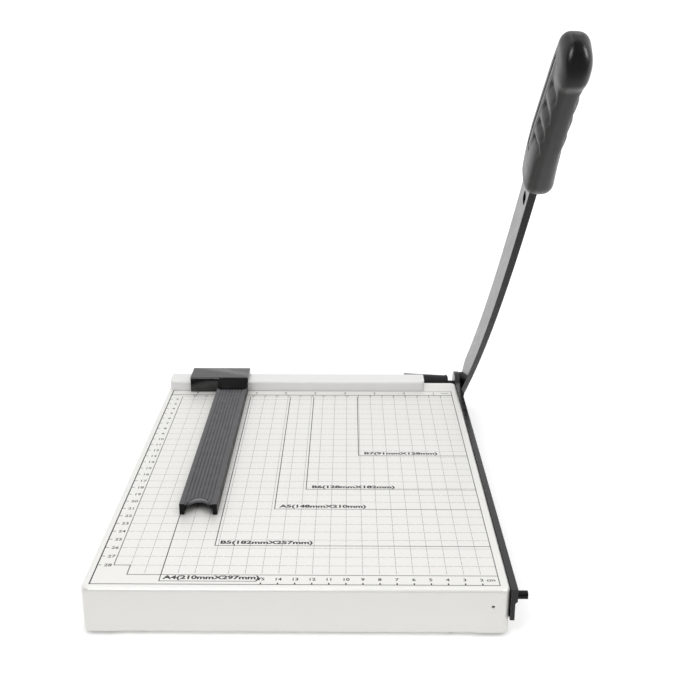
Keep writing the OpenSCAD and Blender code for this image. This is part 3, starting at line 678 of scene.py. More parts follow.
class GeometryTree:
    """A geometry tree with named inputs, run once on an empty host to give a plain mesh."""

    def __init__(self, name: str, inputs: dict[str, str]) -> None:
        """Makes the tree's sockets.

        Args:
            name: The tree's name.
            inputs: Each input's name and the last part of its socket type.
        """
        self.tree = bpy.data.node_groups.new(name, "GeometryNodeTree")
        self.bench = Bench(self.tree)
        sides = self.tree.interface
        self.keys = {
            label: sides.new_socket(label, in_out="INPUT", socket_type="NodeSocket" + kind).identifier
            for label, kind in {"Geometry": "Geometry", **inputs, "Finish": "Material"}.items()
        }
        sides.new_socket("Geometry", in_out="OUTPUT", socket_type="NodeSocketGeometry")
        self.given = self.bench.add("NodeGroupInput").outputs

    def repeat(self, shape: Socket, count: str, step: str, start: str = "") -> Socket:
        """Repeats a shape along an even line.

        Args:
            shape: What is repeated.
            count: The input that says how often.
            step: The input with the way from one to the next.
            start: The input with the first one's place, if it isn't the origin.

        Returns:
            The instances.
        """
        line = {"Count": self.given[count], "Offset": self.given[step]}
        if start:
            line["Start Location"] = self.given[start]
        points = self.bench.result("GeometryNodeMeshLine", line)
        return self.bench.result("GeometryNodeInstanceOnPoints", {"Points": points, "Instance": shape})

    def close(self, geometry: Socket) -> None:
        """Ends the tree: instances made real, then the finish.

        Args:
            geometry: What the tree has made.
        """
        real = self.bench.result("GeometryNodeRealizeInstances", {"Geometry": geometry})
        dressing = {"Geometry": real, "Material": self.given["Finish"]}
        dressed = self.bench.result("GeometryNodeSetMaterial", dressing)
        self.bench.add("NodeGroupOutput", {"Geometry": dressed})

    def mesh(self, finish: Finish, **values) -> Mesh:
        """Runs the tree.

        Args:
            finish: What the result is made of.
            **values: The inputs, by their names with _ for a space.

        Returns:
            A plain mesh.
        """
        host = new_object("tree_host", bpy.data.meshes.new("tree_host"))
        rule = host.modifiers.new("rule", "NODES")
        rule.node_group = self.tree
        rule[self.keys["Finish"]] = finish.material()
        for label, value in values.items():
            rule[self.keys[label.replace("_", " ")]] = value
        result = settled(host)
        host.modifiers.remove(rule)
        bpy.data.objects.remove(host)
        return result


class RuledField(GeometryTree):
    """Rows of thin printed bars: a row is a line of bars, and the rows step across the deck."""

    def __init__(self) -> None:
        """Builds the tree."""
        inputs = {"Rows": "Int", "Row Step": "Vector", "Bars": "Int", "Bar Step": "Vector"}
        super().__init__("ruled_field", {**inputs, "Bar Size": "Vector", "Start": "Vector"})
        bar = self.bench.result("GeometryNodeMeshCube", {"Size": self.given["Bar Size"]})
        row = self.repeat(bar, "Bars", "Bar Step")
        self.close(self.repeat(row, "Rows", "Row Step", "Start"))


class WireCoil(GeometryTree):
    """A round wire wound along -X."""

    around: int = 40
    wire_sides: int = 14

    def __init__(self) -> None:
        """Builds the tree."""
        numbers = dict.fromkeys(("Turns", "Radius", "Length", "Wire Radius"), "Float")
        super().__init__("wire_coil", {**numbers, "Start": "Vector"})
        bench, given = self.bench, self.given
        winding = {"Resolution": self.around, "Rotations": given["Turns"], "Start Radius": given["Radius"]}
        winding |= {"End Radius": given["Radius"], "Height": given["Length"], "Reverse": True}
        spiral = bench.result("GeometryNodeCurveSpiral", winding)
        section = {"Resolution": self.wire_sides, "Radius": given["Wire Radius"]}
        ring = bench.result("GeometryNodeCurvePrimitiveCircle", section)
        sweep = {"Curve": spiral, "Profile Curve": ring, "Fill Caps": True}
        tube = bench.result("GeometryNodeCurveToMesh", sweep)
        place = {"Geometry": tube, "Translation": given["Start"], "Rotation": (0.0, -QUARTER_TURN, 0.0)}
        moved = bench.result("GeometryNodeTransform", place)
        self.close(bench.result("GeometryNodeSetShadeSmooth", {"Geometry": moved}))


class FastenerRow(GeometryTree):
    """One fastener repeated along an even row."""

    def __init__(self) -> None:
        """Builds the tree."""
        inputs = {"Fastener": "Object", "Count": "Int", "Start": "Vector", "Step": "Vector"}
        super().__init__("fastener_row", inputs)
        one = self.bench.add("GeometryNodeObjectInfo", {"Object": self.given["Fastener"]})
        self.close(self.repeat(one.outputs["Geometry"], "Count", "Step", "Start"))


@dataclass
class CrossScrews:
    """Pan-head screws with a cross recess that stand for a solid's row of plain ones.

    The ratios are of the screw's diameter, or of the head's rise for the brim and the recess's depth.
    """

    node: str
    count: int
    diameter: float
    axis: Axis
    body: Body
    head_ratio: float = 1.9
    head_rise: float = 0.55
    brim: float = 0.3
    recess_bar: float = 0.13
    recess_reach: float = 0.52
    recess_deep: float = 0.62
    sides: int = 32
    dome_rings: int = 7
    sharp: float = 30.0

    def profile(self, length: float) -> list[Pair]:
        """The outline from the head's top to the point.

        Args:
            length: From the seat to the point, in metres.

        Returns:
            Radius and height of each ring, in metres.
        """
        wide = self.diameter * MM
        head, rise = wide * self.head_ratio / 2, wide * self.head_rise
        arc = [QUARTER_TURN * k / self.dome_rings for k in range(1, self.dome_rings + 1)]
        dome = [(head * math.sin(a), -rise * (self.brim + (1 - self.brim) * math.cos(a))) for a in arc]
        under = [(head, -0.02 * rise), (head * 0.985, 0.0)]
        return dome + under + [(wide / 2, 0.0), (wide / 2, length - wide / 3), (wide / 4, length)]

    def screw(self, length: float) -> Mesh:
        """One screw with its seat at the origin and its point along the axis.

        Args:
            length: From the seat to the point, in metres.

        Returns:
            The mesh.
        """
        wide = self.diameter * MM
        rise = wide * self.head_rise
        turns = [2 * math.pi * k / self.sides for k in range(self.sides)]
        outline = self.profile(length)
        rings = [[Vector((r * math.cos(a), r * math.sin(a), z)) for a in turns] for r, z in outline]
        mesh = skin("cross_screw", rings, Vector((0, 0, -rise)), Vector((0, 0, length)))
        bar, reach = wide * self.recess_bar, wide * self.recess_reach
        cross = [(reach, bar), (bar, bar), (bar, reach), (-bar, reach), (-bar, bar), (-reach, bar)]
        cross += [(-x, -y) for x, y in cross]
        tool = prism("cross_recess", cross, -1.5 * rise, -rise + rise * self.recess_deep, Axis.UP)
        mesh = shade(carve(mesh, [tool]), Paint.ZINC, self.sharp)
        if self.axis is not Axis.UP:
            turn = QUARTER_TURN if self.axis is Axis.RIGHT else -QUARTER_TURN
            mesh.transform(Matrix.Rotation(turn, 4, "Y"))
        return mesh

    def build(self, row: FastenerRow) -> None:
        """Makes the row of screws where the solid has it.

        Args:
            row: The tree that repeats a fastener.
        """
        low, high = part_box(self.node)
        head = self.diameter * MM * self.head_ratio / 2
        rise = self.diameter * MM * self.head_rise
        if self.axis is Axis.UP:
            start = Vector((low.x + head, low.y + head, low.z + rise))
            end = Vector((high.x - head, low.y + head, low.z + rise))
            length = high.z - low.z - rise
        else:
            seat = low.x + rise if self.axis is Axis.RIGHT else high.x - rise
            start = Vector((seat, high.y - head, low.z + head))
            end = Vector((seat, low.y + head, high.z - head))
            length = high.x - low.x - rise
        model = new_object("screw_model", self.screw(length))
        step = (end - start) / (self.count - 1)
        mesh = row.mesh(Paint.ZINC, Fastener=model, Count=self.count, Start=tuple(start), Step=tuple(step))
        bpy.data.objects.remove(model)
        fit(self.node + "_cross", mesh, self.body, Slot.ZINC, self.node)


@dataclass
class Tray:
    """The folded tray with its feet and the paper rail."""

    rail_screws: CrossScrews

    def build(self, row: FastenerRow) -> None:
        """Dresses the tray, the feet and the rail, and makes the rail's screws.

        Args:
            row: The tree that repeats a fastener.
        """
        dress("base_tray", Paint.ENAMEL)
        dress("rubber_feet", Paint.RUBBER)
        dress("paper_rail", Paint.RAIL)
        self.rail_screws.build(row)


@dataclass
class FixedBlade:
    """The lower blade with its stop pin."""

    screws: CrossScrews

    def build(self, row: FastenerRow) -> None:
        """Dresses the blade and the pin, and makes the blade's screws.

        Args:
            row: The tree that repeats a fastener.
        """
        dress("fixed_blade", Paint.DARK_STEEL)
        dress("stop_pin", Paint.BLACKENED)
        self.screws.build(row)


@dataclass
class Pivot:
    """The bolt that the arm turns on, with the sprung sleeve on its inner side."""

    zero: Zero
    y: float = 33.0
    z: float = -7.5
    spring_right: float = -12.15
    spring_length: float = 26.0
    wire: float = 1.6
    coil: float = 10.4
    turns: float = 6.0

    def hinge(self) -> Vector:
        """Where the bolt's axis goes through the cutting plane, in metres."""
        return self.zero.at(0, self.y, self.z)

    def build(self) -> None:
        """Dresses the solids and winds the spring."""
        for node in ("pivot_bolt", "head_washer", "spring_washer", "pivot_nut"):
            dress(node, Paint.ZINC)
        dress("spring_housing", Paint.SLEEVE)
        mesh = WireCoil().mesh(
            Paint.SPRING,
            Turns=self.turns,
            Radius=self.coil / 2 * MM,
            Length=(self.spring_length - self.wire) * MM,
            Wire_Radius=self.wire / 2 * MM,
            Start=tuple(self.zero.at(self.spring_right - self.wire / 2, self.y, self.z)),
        )
        fit("pivot_coil", mesh, Body.BASE, Slot.SPRING, "pivot_spring")


@dataclass
class Grip:
    """The moulded grip: a skin of rings by rule, with a ribbed channel, a bar slot and screw wells."""

    length: float = 116.5
    inner_half: float = 8.6
    outer_half: float = 9.24
    up: float = 9.4
    down: float = 12.4
    waist: float = 1.45
    waist_lean: float = 1.0
    waist_middle: float = 0.55
    taper: float = 2.5
    taper_from: float = 0.4
    heel_in: float = 0.7
    lead_share: float = 3.0
    middle: float = 4.3
    heel: float = 11.7
    heel_under: float = 14.3
    nose: float = 11.3
    nose_lean: float = 2.4
    nose_under: float = 19.6
    knob: float = 28.5
    knob_rise: float = 14.0
    knob_drop: float = 2.0
    crease_in: float = 25.0
    crease_length: float = 8.0
    swells: int = 3
    swell: float = 15.0
    swell_ratio: float = 0.9
    valley: float = 1.7
    valley_bend: float = 5.0
    valley_low: Pair = (0.95, 0.13)
    valley_high: Pair = (-0.12, 0.09)
    valley_turn: Pair = (-0.7, 0.25)
    fade: float = 16.0
    square_top: float = 0.4
    square_low: float = 0.65
    square_heel: float = 0.68
    square_nose: float = 0.64
    heel_blend: float = 22.0
    nose_blend: float = 26.0
    channel_low: float = -1.0
    channel_width: float = 4.8
    channel_depth: float = 0.6
    channel_rib: float = 3.0
    rib_in: float = 0.15
    channel_start: float = 33.0
    channel_length: float = 68.0
    channel_steps: int = 16
    screw_from: float = 46.0
    screw_apart: float = 30.0
    screw_sunk: float = 3.2
    well: float = 6.3
    well_sides: int = 40
    slot_gap: float = 0.15
    slot_open: float = 5.0
    rings: int = 280
    cap_rings: int = 24
    sides: int = 120
    crowding: float = math.radians(10)
    sharp: float = 38.0

    @staticmethod
    def quarter(u: float) -> float:
        """A quarter circle's rise from 0 to 1."""
        return 1.0 if u >= 1 else math.sqrt(1 - (1 - max(0.0, u)) ** 2)

    @staticmethod
    def ease(u: float) -> float:
        """A smooth step from 0 to 1."""
        u = min(1.0, max(0.0, u))
        return u * u * (3 - 2 * u)

    def squareness(self, t: float, above: bool) -> float:
        """The power that makes the section squarish: flat sides above, rounder below and at the ends.

        Args:
            t: The distance from the lower end, in millimetres.
            above: Whether it is for the upper half.

        Returns:
            The power of the sine and cosine.
        """
        heel = 1 - self.ease(t / self.heel_blend)
        nose = self.ease((t - self.length + self.nose_blend) / self.nose_blend)
        body = self.square_top if above else self.square_low
        return body * (1 - heel - nose) + self.square_heel * heel + self.square_nose * nose

    def end_share(self, t: float, heel: float, nose: float) -> float:
        """How much of the section is left near two ends rounded over the given lengths."""
        into = max((heel - t) / heel, (t - self.length + nose) / nose, 0.0)
        return math.sqrt(max(0.0, 1 - into**2))

    def knob_share(self, t: float) -> float:
        """How far the knob has swollen out."""
        return self.quarter((t - self.length + self.knob) / self.knob_rise)

    def valley_share(self, t: float) -> float:
        """How deep the sharp valleys are, between swells that get shorter towards the lower end.

        Args:
            t: The distance from the lower end, in millimetres.

        Returns:
            The share of the full depth.
        """
        past = self.length - self.knob - t
        swells_length = self.swell * (1 - self.swell_ratio**self.swells) / (1 - self.swell_ratio)
        if past < 0:
            return 1 - self.knob_share(t)
        if past > swells_length:
            return 1 - self.quarter((past - swells_length) / self.fade)
        turn = math.log(1 - past * (1 - self.swell_ratio) / self.swell) / math.log(self.swell_ratio)
        return 1 - abs(math.sin(math.pi * turn))

    def lead(self, t: float) -> float:
        """How far the section has come from the heel's own width."""
        return self.ease(self.lead_share * t / self.length)

    def inner(self, t: float) -> float:
        """Half the width on the inner side."""
        narrowed = max(0.0, t / self.length - self.taper_from) / (1 - self.taper_from)
        return self.inner_half - self.taper * narrowed - self.heel_in * (1 - self.lead(t))

    def outer(self, t: float) -> float:
        """Half the width on the outer side."""
        lean = 1 + self.waist_lean * (self.waist_middle - t / self.length)
        return self.outer_half - self.waist * lean * self.lead(t) * (1 - self.knob_share(t))

    def point(self, t: float, a: float) -> Vector:
        """A point of the skin.

        Args:
            t: The distance from the lower end, in millimetres.
            a: The angle round the grip, in radians.

        Returns:
            The point in the grip's own frame, in millimetres.
        """
        power = self.squareness(t, math.sin(a) > 0)
        side, rise = (math.copysign(abs(value) ** power, value) for value in (math.cos(a), math.sin(a)))
        above_low = self.ease((rise + self.valley_low[0]) / self.valley_low[1])
        below_high = self.ease((self.valley_high[0] - rise) / self.valley_high[1])
        bent = t + self.valley_bend * self.ease((self.valley_turn[0] - rise) / self.valley_turn[1])
        dent = self.valley * self.valley_share(bent) * (above_low * below_high)
        creased = self.ease((t - self.length + self.crease_in) / self.crease_length)
        low = self.down + self.knob_drop * creased
        share = self.end_share(t, self.heel, self.nose + self.nose_lean * math.cos(a))
        half_w = ((self.inner(t) if side < 0 else self.outer(t)) - dent) * share
        half_h = low * self.end_share(t, self.heel_under, self.nose_under) if rise < 0 else self.up * share
        return Vector((self.middle + half_w * side, -t, half_h * rise))

    def turns(self) -> list[float]:
        """The angles of a ring's points, drawn towards the middles of the flat sides."""
        even = [2 * math.pi * (k + 0.5) / self.sides for k in range(self.sides)]
        return [a - self.crowding * math.sin(4 * a) for a in even]

    def stations(self) -> list[float]:
        """Where the rings lie, closer together at the two ends.

        Returns:
            The distances from the lower end, in millimetres.
        """
        caps = self.cap_rings
        body = self.rings - 2 * caps
        span = self.length - self.heel - self.nose
        first = [self.heel * (1 - math.cos(QUARTER_TURN * k / caps)) for k in range(1, caps + 1)]
        middle = [self.heel + span * k / body for k in range(1, body + 1)]
        last = [self.length - self.nose * (1 - math.sin(QUARTER_TURN * k / caps)) for k in range(1, caps)]
        return first + middle + last

    def channel(self, depth: float, low: float, high: float) -> Mesh:
        """A cutter that follows the inner side.

        Args:
            depth: How far it goes in, in millimetres.
            low: The height where it starts.
            high: The height where it ends.

        Returns:
            The mesh.
        """
        steps = self.channel_steps
        spots = [self.channel_start + self.channel_length * k / steps for k in range(steps + 1)]
        outline = [(self.middle - self.inner(t) + depth, -t) for t in spots]
        clear = self.middle - 2 * self.inner_half
        outline += [(clear, -spots[-1]), (clear, -spots[0])]
        return prism("channel", outline, low, high, Axis.UP)

    def bar_slot(self, bar: "BladeArm") -> Mesh:
        """A cutter for the bar's end and its tang, with a little room round them.

        Args:
            bar: The bar that the grip sits on.

        Returns:
            The mesh.
        """
        gap = self.slot_gap
        wide, narrow = bar.width / 2 + gap, bar.tang_width / 2 + gap
        seat = -bar.seat - gap
        end = -bar.seat - bar.tang_length - gap
        upper = [(self.slot_open, wide), (seat, wide), (seat, narrow), (end, narrow)]
        lower = [(y, -z) for y, z in reversed(upper)]
        return prism("bar_slot", upper + lower, bar.inner - gap, bar.inner + bar.thick + gap)

    def cutters(self, bar: "BladeArm") -> list[Mesh]:
        """The shapes that are cut from the skin: bar slot, channel with its rib, and screw wells.

        Args:
            bar: The bar that the grip sits on.

        Returns:
            The meshes.
        """
        low, high = self.channel_low, self.channel_low + self.channel_width
        lane = (self.channel_width - self.channel_rib) / 2
        tools = [
            self.bar_slot(bar),
            self.channel(self.rib_in, low, high),
            self.channel(self.channel_depth, low, low + lane),
            self.channel(self.channel_depth, high - lane, high),
        ]
        floor = self.middle + self.outer_half - self.waist - self.screw_sunk
        radius = self.well / 2
        ring = [2 * math.pi * k / self.well_sides for k in range(self.well_sides)]
        for t in (self.screw_from, self.screw_from + self.screw_apart):
            round_well = [(radius * math.cos(a) - t, radius * math.sin(a)) for a in ring]
            tools.append(prism("screw_well", round_well, floor, self.middle + 2 * self.outer_half))
        return tools

    def build(self, bar: "BladeArm") -> None:
        """Makes the grip on the end of the bar.

        Args:
            bar: The bar that the grip sits on.
        """
        turns = self.turns()
        rings = [[self.point(t, a) for a in turns] for t in self.stations()]
        mesh = skin("grip_skin", rings, Vector((self.middle, 0, 0)), Vector((self.middle, -self.length, 0)))
        mesh = shade(carve(mesh, self.cutters(bar)), Paint.BLACK, self.sharp)
        mesh.transform(bar.placed_along(bar.grip_at))
        fit("grip_moulding", mesh, Body.ARM, Slot.BLACK, "grip")


@dataclass
class BladeArm:
    """The curved bar with its ground inner face, and the grip on its tang."""

    pivot: Pivot
    grip: Grip
    screws: CrossScrews
    width: float = 18.0
    thick: float = 4.4
    inner: float = 0.1
    curve_radius: float = 1833.0
    lift: float = math.radians(33.8)
    grip_at: float = 366.0
    seat: float = 6.0
    tang_width: float = 12.0
    tang_length: float = 82.0

    def placed_along(self, distance: float) -> Matrix:
        """Moves a mesh in millimetres from a point along the lifted bar to its place in the frame.

        Args:
            distance: How far from the pivot the point is along the arc, in millimetres.

        Returns:
            The move.
        """
        a = distance / self.curve_radius
        rise = (0, -self.curve_radius * math.sin(a), self.curve_radius * (1 - math.cos(a)))
        own = Matrix.Translation(rise) @ Matrix.Rotation(-a, 4, "X")
        lifted = Matrix.Rotation(-self.lift, 4, "X") @ own
        return Matrix.Translation(self.pivot.hinge()) @ Matrix.Scale(MM, 4) @ lifted

    def finish(self) -> Finish:
        """Dark paint with the ground face, set to the pivot and the lift.

        Returns:
            The finish.
        """
        paint = Paint.DARK_STEEL
        return GroundBarFinish(
            "ground_blade_bar", (0.006, 0.006, 0.0063), 0.4, specular=0.14, drift=paint.drift,
            drift_scale=paint.drift_scale, edge_round=paint.edge_round, rub=paint.rub,
            rub_colour=paint.rub_colour, pivot=tuple(self.pivot.hinge()), lift=self.lift,
        )

    def build(self, row: FastenerRow) -> None:
        """Dresses the bar and makes the grip and its screws.

        Args:
            row: The tree that repeats a fastener.
        """
        dress("blade_arm", self.finish())
        self.grip.build(self)
        self.screws.build(row)


@dataclass
class Gauge:
    """The sliding block with its ribbed arm."""

    side_room: float = 1.0
    merge: float = 0.001
    sharp: float = 30.0

    def solid_block(self) -> Mesh:
        """A copy of the block's solid, with its loose triangles joined up.

        Returns:
            The mesh.
        """
        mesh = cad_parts["gauge_block"].data.copy()
        work = bmesh.new()
        work.from_mesh(mesh)
        bmesh.ops.remove_doubles(work, verts=work.verts, dist=self.merge * MM)
        work.to_mesh(mesh)
        work.free()
        return mesh

    def block(self) -> None:
        """Makes the block in two finishes: glossy, with a shoulder over the arm's rear end in a darker,
        matt copy of the plastic as painted shade.
        """
        low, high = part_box("gauge_arm")
        above = 2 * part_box("gauge_block")[1].z
        over_arm = [(low.y, high.z), (high.y, high.z), (high.y, above), (low.y, above)]
        room = self.side_room * MM
        parts = (
            ("gauge_block_moulding", Keep.OUTSIDE, Paint.BLOCK, "gauge_block"),
            # The shoulder's darker, matt finish is painted shade
            ("gauge_block_shoulder", Keep.INSIDE, Paint.MATT_BLACK, None),
        )
        for name, keep, finish, stands_for in parts:
            tool = prism("room_over_arm", over_arm, low.x - room, high.x + room)
            mesh = shade(carve(self.solid_block(), [tool], keep), finish, self.sharp)
            fit(name, mesh, Body.GAUGE, Slot.BLACK, stands_for)

    def build(self) -> None:
        """Makes the block and dresses the gauge's other solids."""
        self.block()
        dress("gauge_arm", replace(Paint.GREY, top=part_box("gauge_arm")[1].z))
        dress("gauge_screws", Paint.ZINC)
        dress("gauge_spring", Paint.SPRING)


class Lettering:
    """Turns short words into thin printed meshes."""

    def __init__(self, thickness: float) -> None:
        """Takes the print's thickness and measures the figures' height.

        Args:
            thickness: The print's thickness in metres.
        """
        self.thickness = thickness
        probe = self.raw("8", 1.0, 0.0, Align.LEFT)
        heights = [v.co.y for v in probe.vertices]
        self.cap = max(heights) - min(heights)
        bpy.data.meshes.remove(probe)

    def raw(self, words: str, size: float, weight: float, align: Align) -> Mesh:
        """Words as a mesh that stands on the X axis at the origin.

        Args:
            words: What is printed.
            size: The lettering's size in metres.
            weight: How far the strokes are swollen, in metres.
            align: Which point of the words is at the origin.

        Returns:
            The mesh.
        """
        text = bpy.data.curves.new("words", "FONT")
        text.body = words
        text.size = size
        text.offset = weight
        text.extrude = self.thickness / 2
        text.resolution_u = 3
        text.align_x = align.value
        obj = new_object("words", text)
        mesh = settled(obj)
        bpy.data.objects.remove(obj)
        bpy.data.curves.remove(text)
        return mesh

    def mesh(
        self, words: str, place: Vector, height: float, align: Align = Align.MIDDLE, weight: float = 0.0,
        width: float = 0.0, stretch: float = 1.0,
    ) -> Mesh:
        """Printed words.

        Args:
            words: What is printed.
            place: The middle or left end of the words' mid-height, in metres.
            height: The figures' height in millimetres.
            align: Which point of the words stands at the place.
            weight: How far the strokes are swollen, in millimetres.
            width: The whole length of the words in millimetres, or 0 for their own.
            stretch: How much wider than its own the lettering is, where no width is given.

        Returns:
            The mesh in its place.
        """
        mesh = self.raw(words, height * MM / self.cap, weight * MM, align)
        if width:
            across = [v.co.x for v in mesh.vertices]
            stretch = width * MM / (max(across) - min(across))
        lower = Matrix.Translation((0, -height * MM / 2, 0))
        mesh.transform(Matrix.Translation(place) @ Matrix.Diagonal((stretch, 1, 1, 1)) @ lower)
        return mesh


@dataclass(frozen=True)
class SheetMark:
    """A paper size printed on the deck: its outline, and where its label stands."""

    label: str
    across: float
    down: float
    line_end: float
    label_in: float
    label_width: float


@dataclass(frozen=True)
class Ticks:
    """A row of printed bars: the first one's middle, a bar's size, how many there are, their step."""

    start: Pair
    size: Pair
    count: int
    step: Pair


@dataclass(frozen=True)
class Word:
    """A printed word or figure: the place of its middle, and its lettering."""

    text: str
    place: Pair
    height: float
    weight: float
    stretch: float


@dataclass(frozen=True)
class Figures:
    """A row of figures in one lettering, each at its number of steps from the pattern's place."""

    first: int
    last: int
    step: Pair
    pattern: Word

    def words(self) -> list[Word]:
        """The figures in order.

        Returns:
            A word for each figure.
        """
        x, y = self.pattern.place
        return [
            replace(self.pattern, text=str(n), place=(x + n * self.step[0], y + n * self.step[1]))
            for n in range(self.first, self.last + 1)
        ]


@dataclass
class DeckPrint:
    """The printed grid, scales and paper sizes on the deck."""

    zero: Zero
    right: float = -10.0
    left: float = -250.2
    back: float = -0.5
    front: float = -300.3
    band: float = -10.0
    grid_back: float = -14.0
    inner: float = -240.2
    step_y: float = -280.0
    step_x: float = -230.2
    scale_y: float = -290.3
    grid: float = 10.0
    inch: float = 25.4
    dash: float = 4.4
    dash_width: float = 0.28
    thickness: float = 0.04 * MM
    lift: float = 0.01
    label_rise: float = 4.0
    label_height: float = 3.6
    label_weight: float = 0.2
    sheets: tuple[SheetMark, ...] = (
        SheetMark("B7(91mmX128mm)", 91, 128, -10, 4.1, 54.7),
        SheetMark("B6(128mmX182mm)", 128, 182, -10, 3.8, 57.7),
        SheetMark("A5(148mmX210mm)", 148, 210, -10, 3.3, 58.4),
        SheetMark("B5(182mmX257mm)", 182, 257, -10, 2.8, 58.0),
        SheetMark("A4(210mmX297mm)", 210, 297, -153, 2.0, 57.2),
    )
    ticks: tuple[Ticks, ...] = (
        Ticks((-2 * grid, front + 1.0), (0.8, 2.0), 14, (-grid, 0.0)),
        Ticks((left + 1.4, -2 * grid), (2.2, 0.5), 27, (0.0, -grid)),
        Ticks((-2 * grid, band - 3.4), (0.4, 1.2), 22, (-grid, 0.0)),
        Ticks((-inch, band + 1.0), (0.5, 1.6), 9, (-inch, 0.0)),
    )
    figures: tuple[Figures, ...] = (
        Figures(2, 28, (0.0, -grid), Word("", (-243.8, 0.0), 2.9, 0.06, 1.15)),
        Figures(2, 15, (-grid, 0.0), Word("", (0.0, -294.6), 2.7, 0.08, 1.15)),
        Figures(2, 23, (-grid, 0.0), Word("", (0.0, band - 1.7), 1.9, 0.0, 1.2)),
        Figures(1, 9, (-inch, 0.0), Word("", (0.0, -5.0), 2.6, 0.05, 1.2)),
    )
    units: tuple[Word, ...] = (
        Word("cm", (-14.6, -294.6), 2.7, 0.08, 1.15),
        Word("inch", (-15.5, -5.0), 2.2, 0.02, 1.2),
    )

    def at(self, x: float, y: float) -> Vector:
        """A place on the deck, at the middle of the print's thickness."""
        return self.zero.at(x, y, self.lift)

    def rows(self, finish: Finish, ticks: Ticks, count: int = 1, step: Pair = (0.0, 0.0)) -> Mesh:
        """Rows of printed bars.

        Args:
            finish: The ink.
            ticks: The first row.
            count: How many rows there are.
            step: The way from one row to the next, in millimetres.

        Returns:
            The mesh.
        """
        return self.field.mesh(
            finish,
            Rows=count,
            Row_Step=(step[0] * MM, step[1] * MM, 0.0),
            Bars=ticks.count,
            Bar_Step=(ticks.step[0] * MM, ticks.step[1] * MM, 0.0),
            Bar_Size=(ticks.size[0] * MM, ticks.size[1] * MM, self.thickness),
            Start=tuple(self.at(*ticks.start)),
        )

    def line(self, finish: Finish, x0: float, y0: float, x1: float, y1: float, width: float) -> Mesh:
        """One printed line between two points.

        Args:
            finish: The ink.
            x0: The first point's X.
            y0: The first point's Y.
            x1: The second point's X.
            y1: The second point's Y.
            width: The line's width, all in millimetres.

        Returns:
            The mesh.
        """
        start, end = self.at(x0, y0), self.at(x1, y1)
        run = end - start
        still = (0.0, 0.0, 0.0)
        size = (run.length + width * MM, width * MM, self.thickness)
        one = {"Rows": 1, "Row_Step": still, "Bars": 1, "Bar_Step": still, "Start": still}
        mesh = self.field.mesh(finish, Bar_Size=size, **one)
        turn = Matrix.Rotation(math.atan2(run.y, run.x), 4, "Z")
        mesh.transform(Matrix.Translation((start + end) / 2) @ turn)
        return mesh

    def grid_lines(self) -> list[Mesh]:
        """The one-centimetre grid, in short dashes.

        Returns:
            The lines along Y and the lines along X.
        """
        ink, grid, pitch = Paint.INK_PALE, self.grid, self.grid / 2
        across, down = self.right - self.inner, self.band - self.scale_y
        column = (self.right - grid, self.grid_back - pitch / 2)
        row = (self.right - pitch / 2, self.band - grid)
        down_bars = int((self.grid_back - self.scale_y) / pitch)
        along_y = Ticks(column, (self.dash_width, self.dash), down_bars, (0.0, -pitch))
        along_x = Ticks(row, (self.dash, self.dash_width), int(across / pitch), (-pitch, 0.0))
        return [
            self.rows(ink, along_y, int(across / grid) - 1, (-grid, 0.0)),
            self.rows(ink, along_x, int(down / grid) - 1, (0.0, -grid)),
        ]

    def frame_lines(self) -> list[Mesh]:
        """The border, the inner line of the figures' column and the front scale's line.

        Returns:
            The lines.
        """
        runs = [
            (self.left, self.front, self.right, self.front, 0.7),
            (self.right, self.back, self.right, self.front, 0.6),
            (self.left, self.back, self.right, self.back, 0.5),
            (self.inner, self.grid_back, self.inner, self.step_y, 0.6),
            (self.inner, self.step_y, self.step_x, self.step_y, 0.6),
            (self.step_x, self.step_y, self.step_x, self.scale_y, 0.6),
            (self.step_x, self.scale_y, self.right, self.scale_y, 0.6),
            (self.inner, self.grid_back, self.right, self.grid_back, 0.25),
        ]
        return [self.line(Paint.INK_GREY, *run) for run in runs]

    def dark_lines(self) -> list[Mesh]:
        """The thick line behind, the paper sizes' outlines and the scales' ticks.

        Returns:
            The lines and the ticks.
        """
        runs = [
            (self.left, self.band, self.right, self.band, 0.9),
            (self.left, self.back, self.left, self.front, 0.8),
        ]
        for sheet in self.sheets:
            runs.append((-sheet.across, self.grid_back, -sheet.across, -sheet.down, 0.55))
            runs.append((-sheet.across, -sheet.down, sheet.line_end, -sheet.down, 0.5))
        last = self.sheets[-1]
        runs.append((last.line_end, -last.down, last.line_end + 3, 4 - last.down, 0.5))
        lines = [self.line(Paint.INK, *run) for run in runs]
        return lines + [self.rows(Paint.INK, ticks) for ticks in self.ticks]

    def words(self) -> list[Mesh]:
        """The names of the paper sizes and the figures and units of the scales.

        Returns:
            A mesh for each word.
        """
        made = []
        for sheet in self.sheets:
            place = self.at(sheet.label_in - sheet.across, self.label_rise - sheet.down)
            lettering = (self.label_height, Align.LEFT, self.label_weight, sheet.label_width)
            made.append(self.letters.mesh(sheet.label, place, *lettering))
        for word in [word for row in self.figures for word in row.words()] + list(self.units):
            lettering = {"height": word.height, "weight": word.weight, "stretch": word.stretch}
            made.append(self.letters.mesh(word.text, self.at(*word.place), **lettering))
        return made

    def build(self) -> None:
        """Prints the deck."""
        self.field = RuledField()
        self.letters = Lettering(self.thickness)
        prints = (
            joined("deck_grid", self.grid_lines(), Paint.INK_PALE),
            joined("deck_frame_lines", self.frame_lines(), Paint.INK_GREY),
            joined("deck_scale_lines", self.dark_lines(), Paint.INK),
            joined("deck_figures", self.words(), Paint.INK),
        )
        for mesh in prints:
            fit(mesh.name, mesh, Body.BASE)


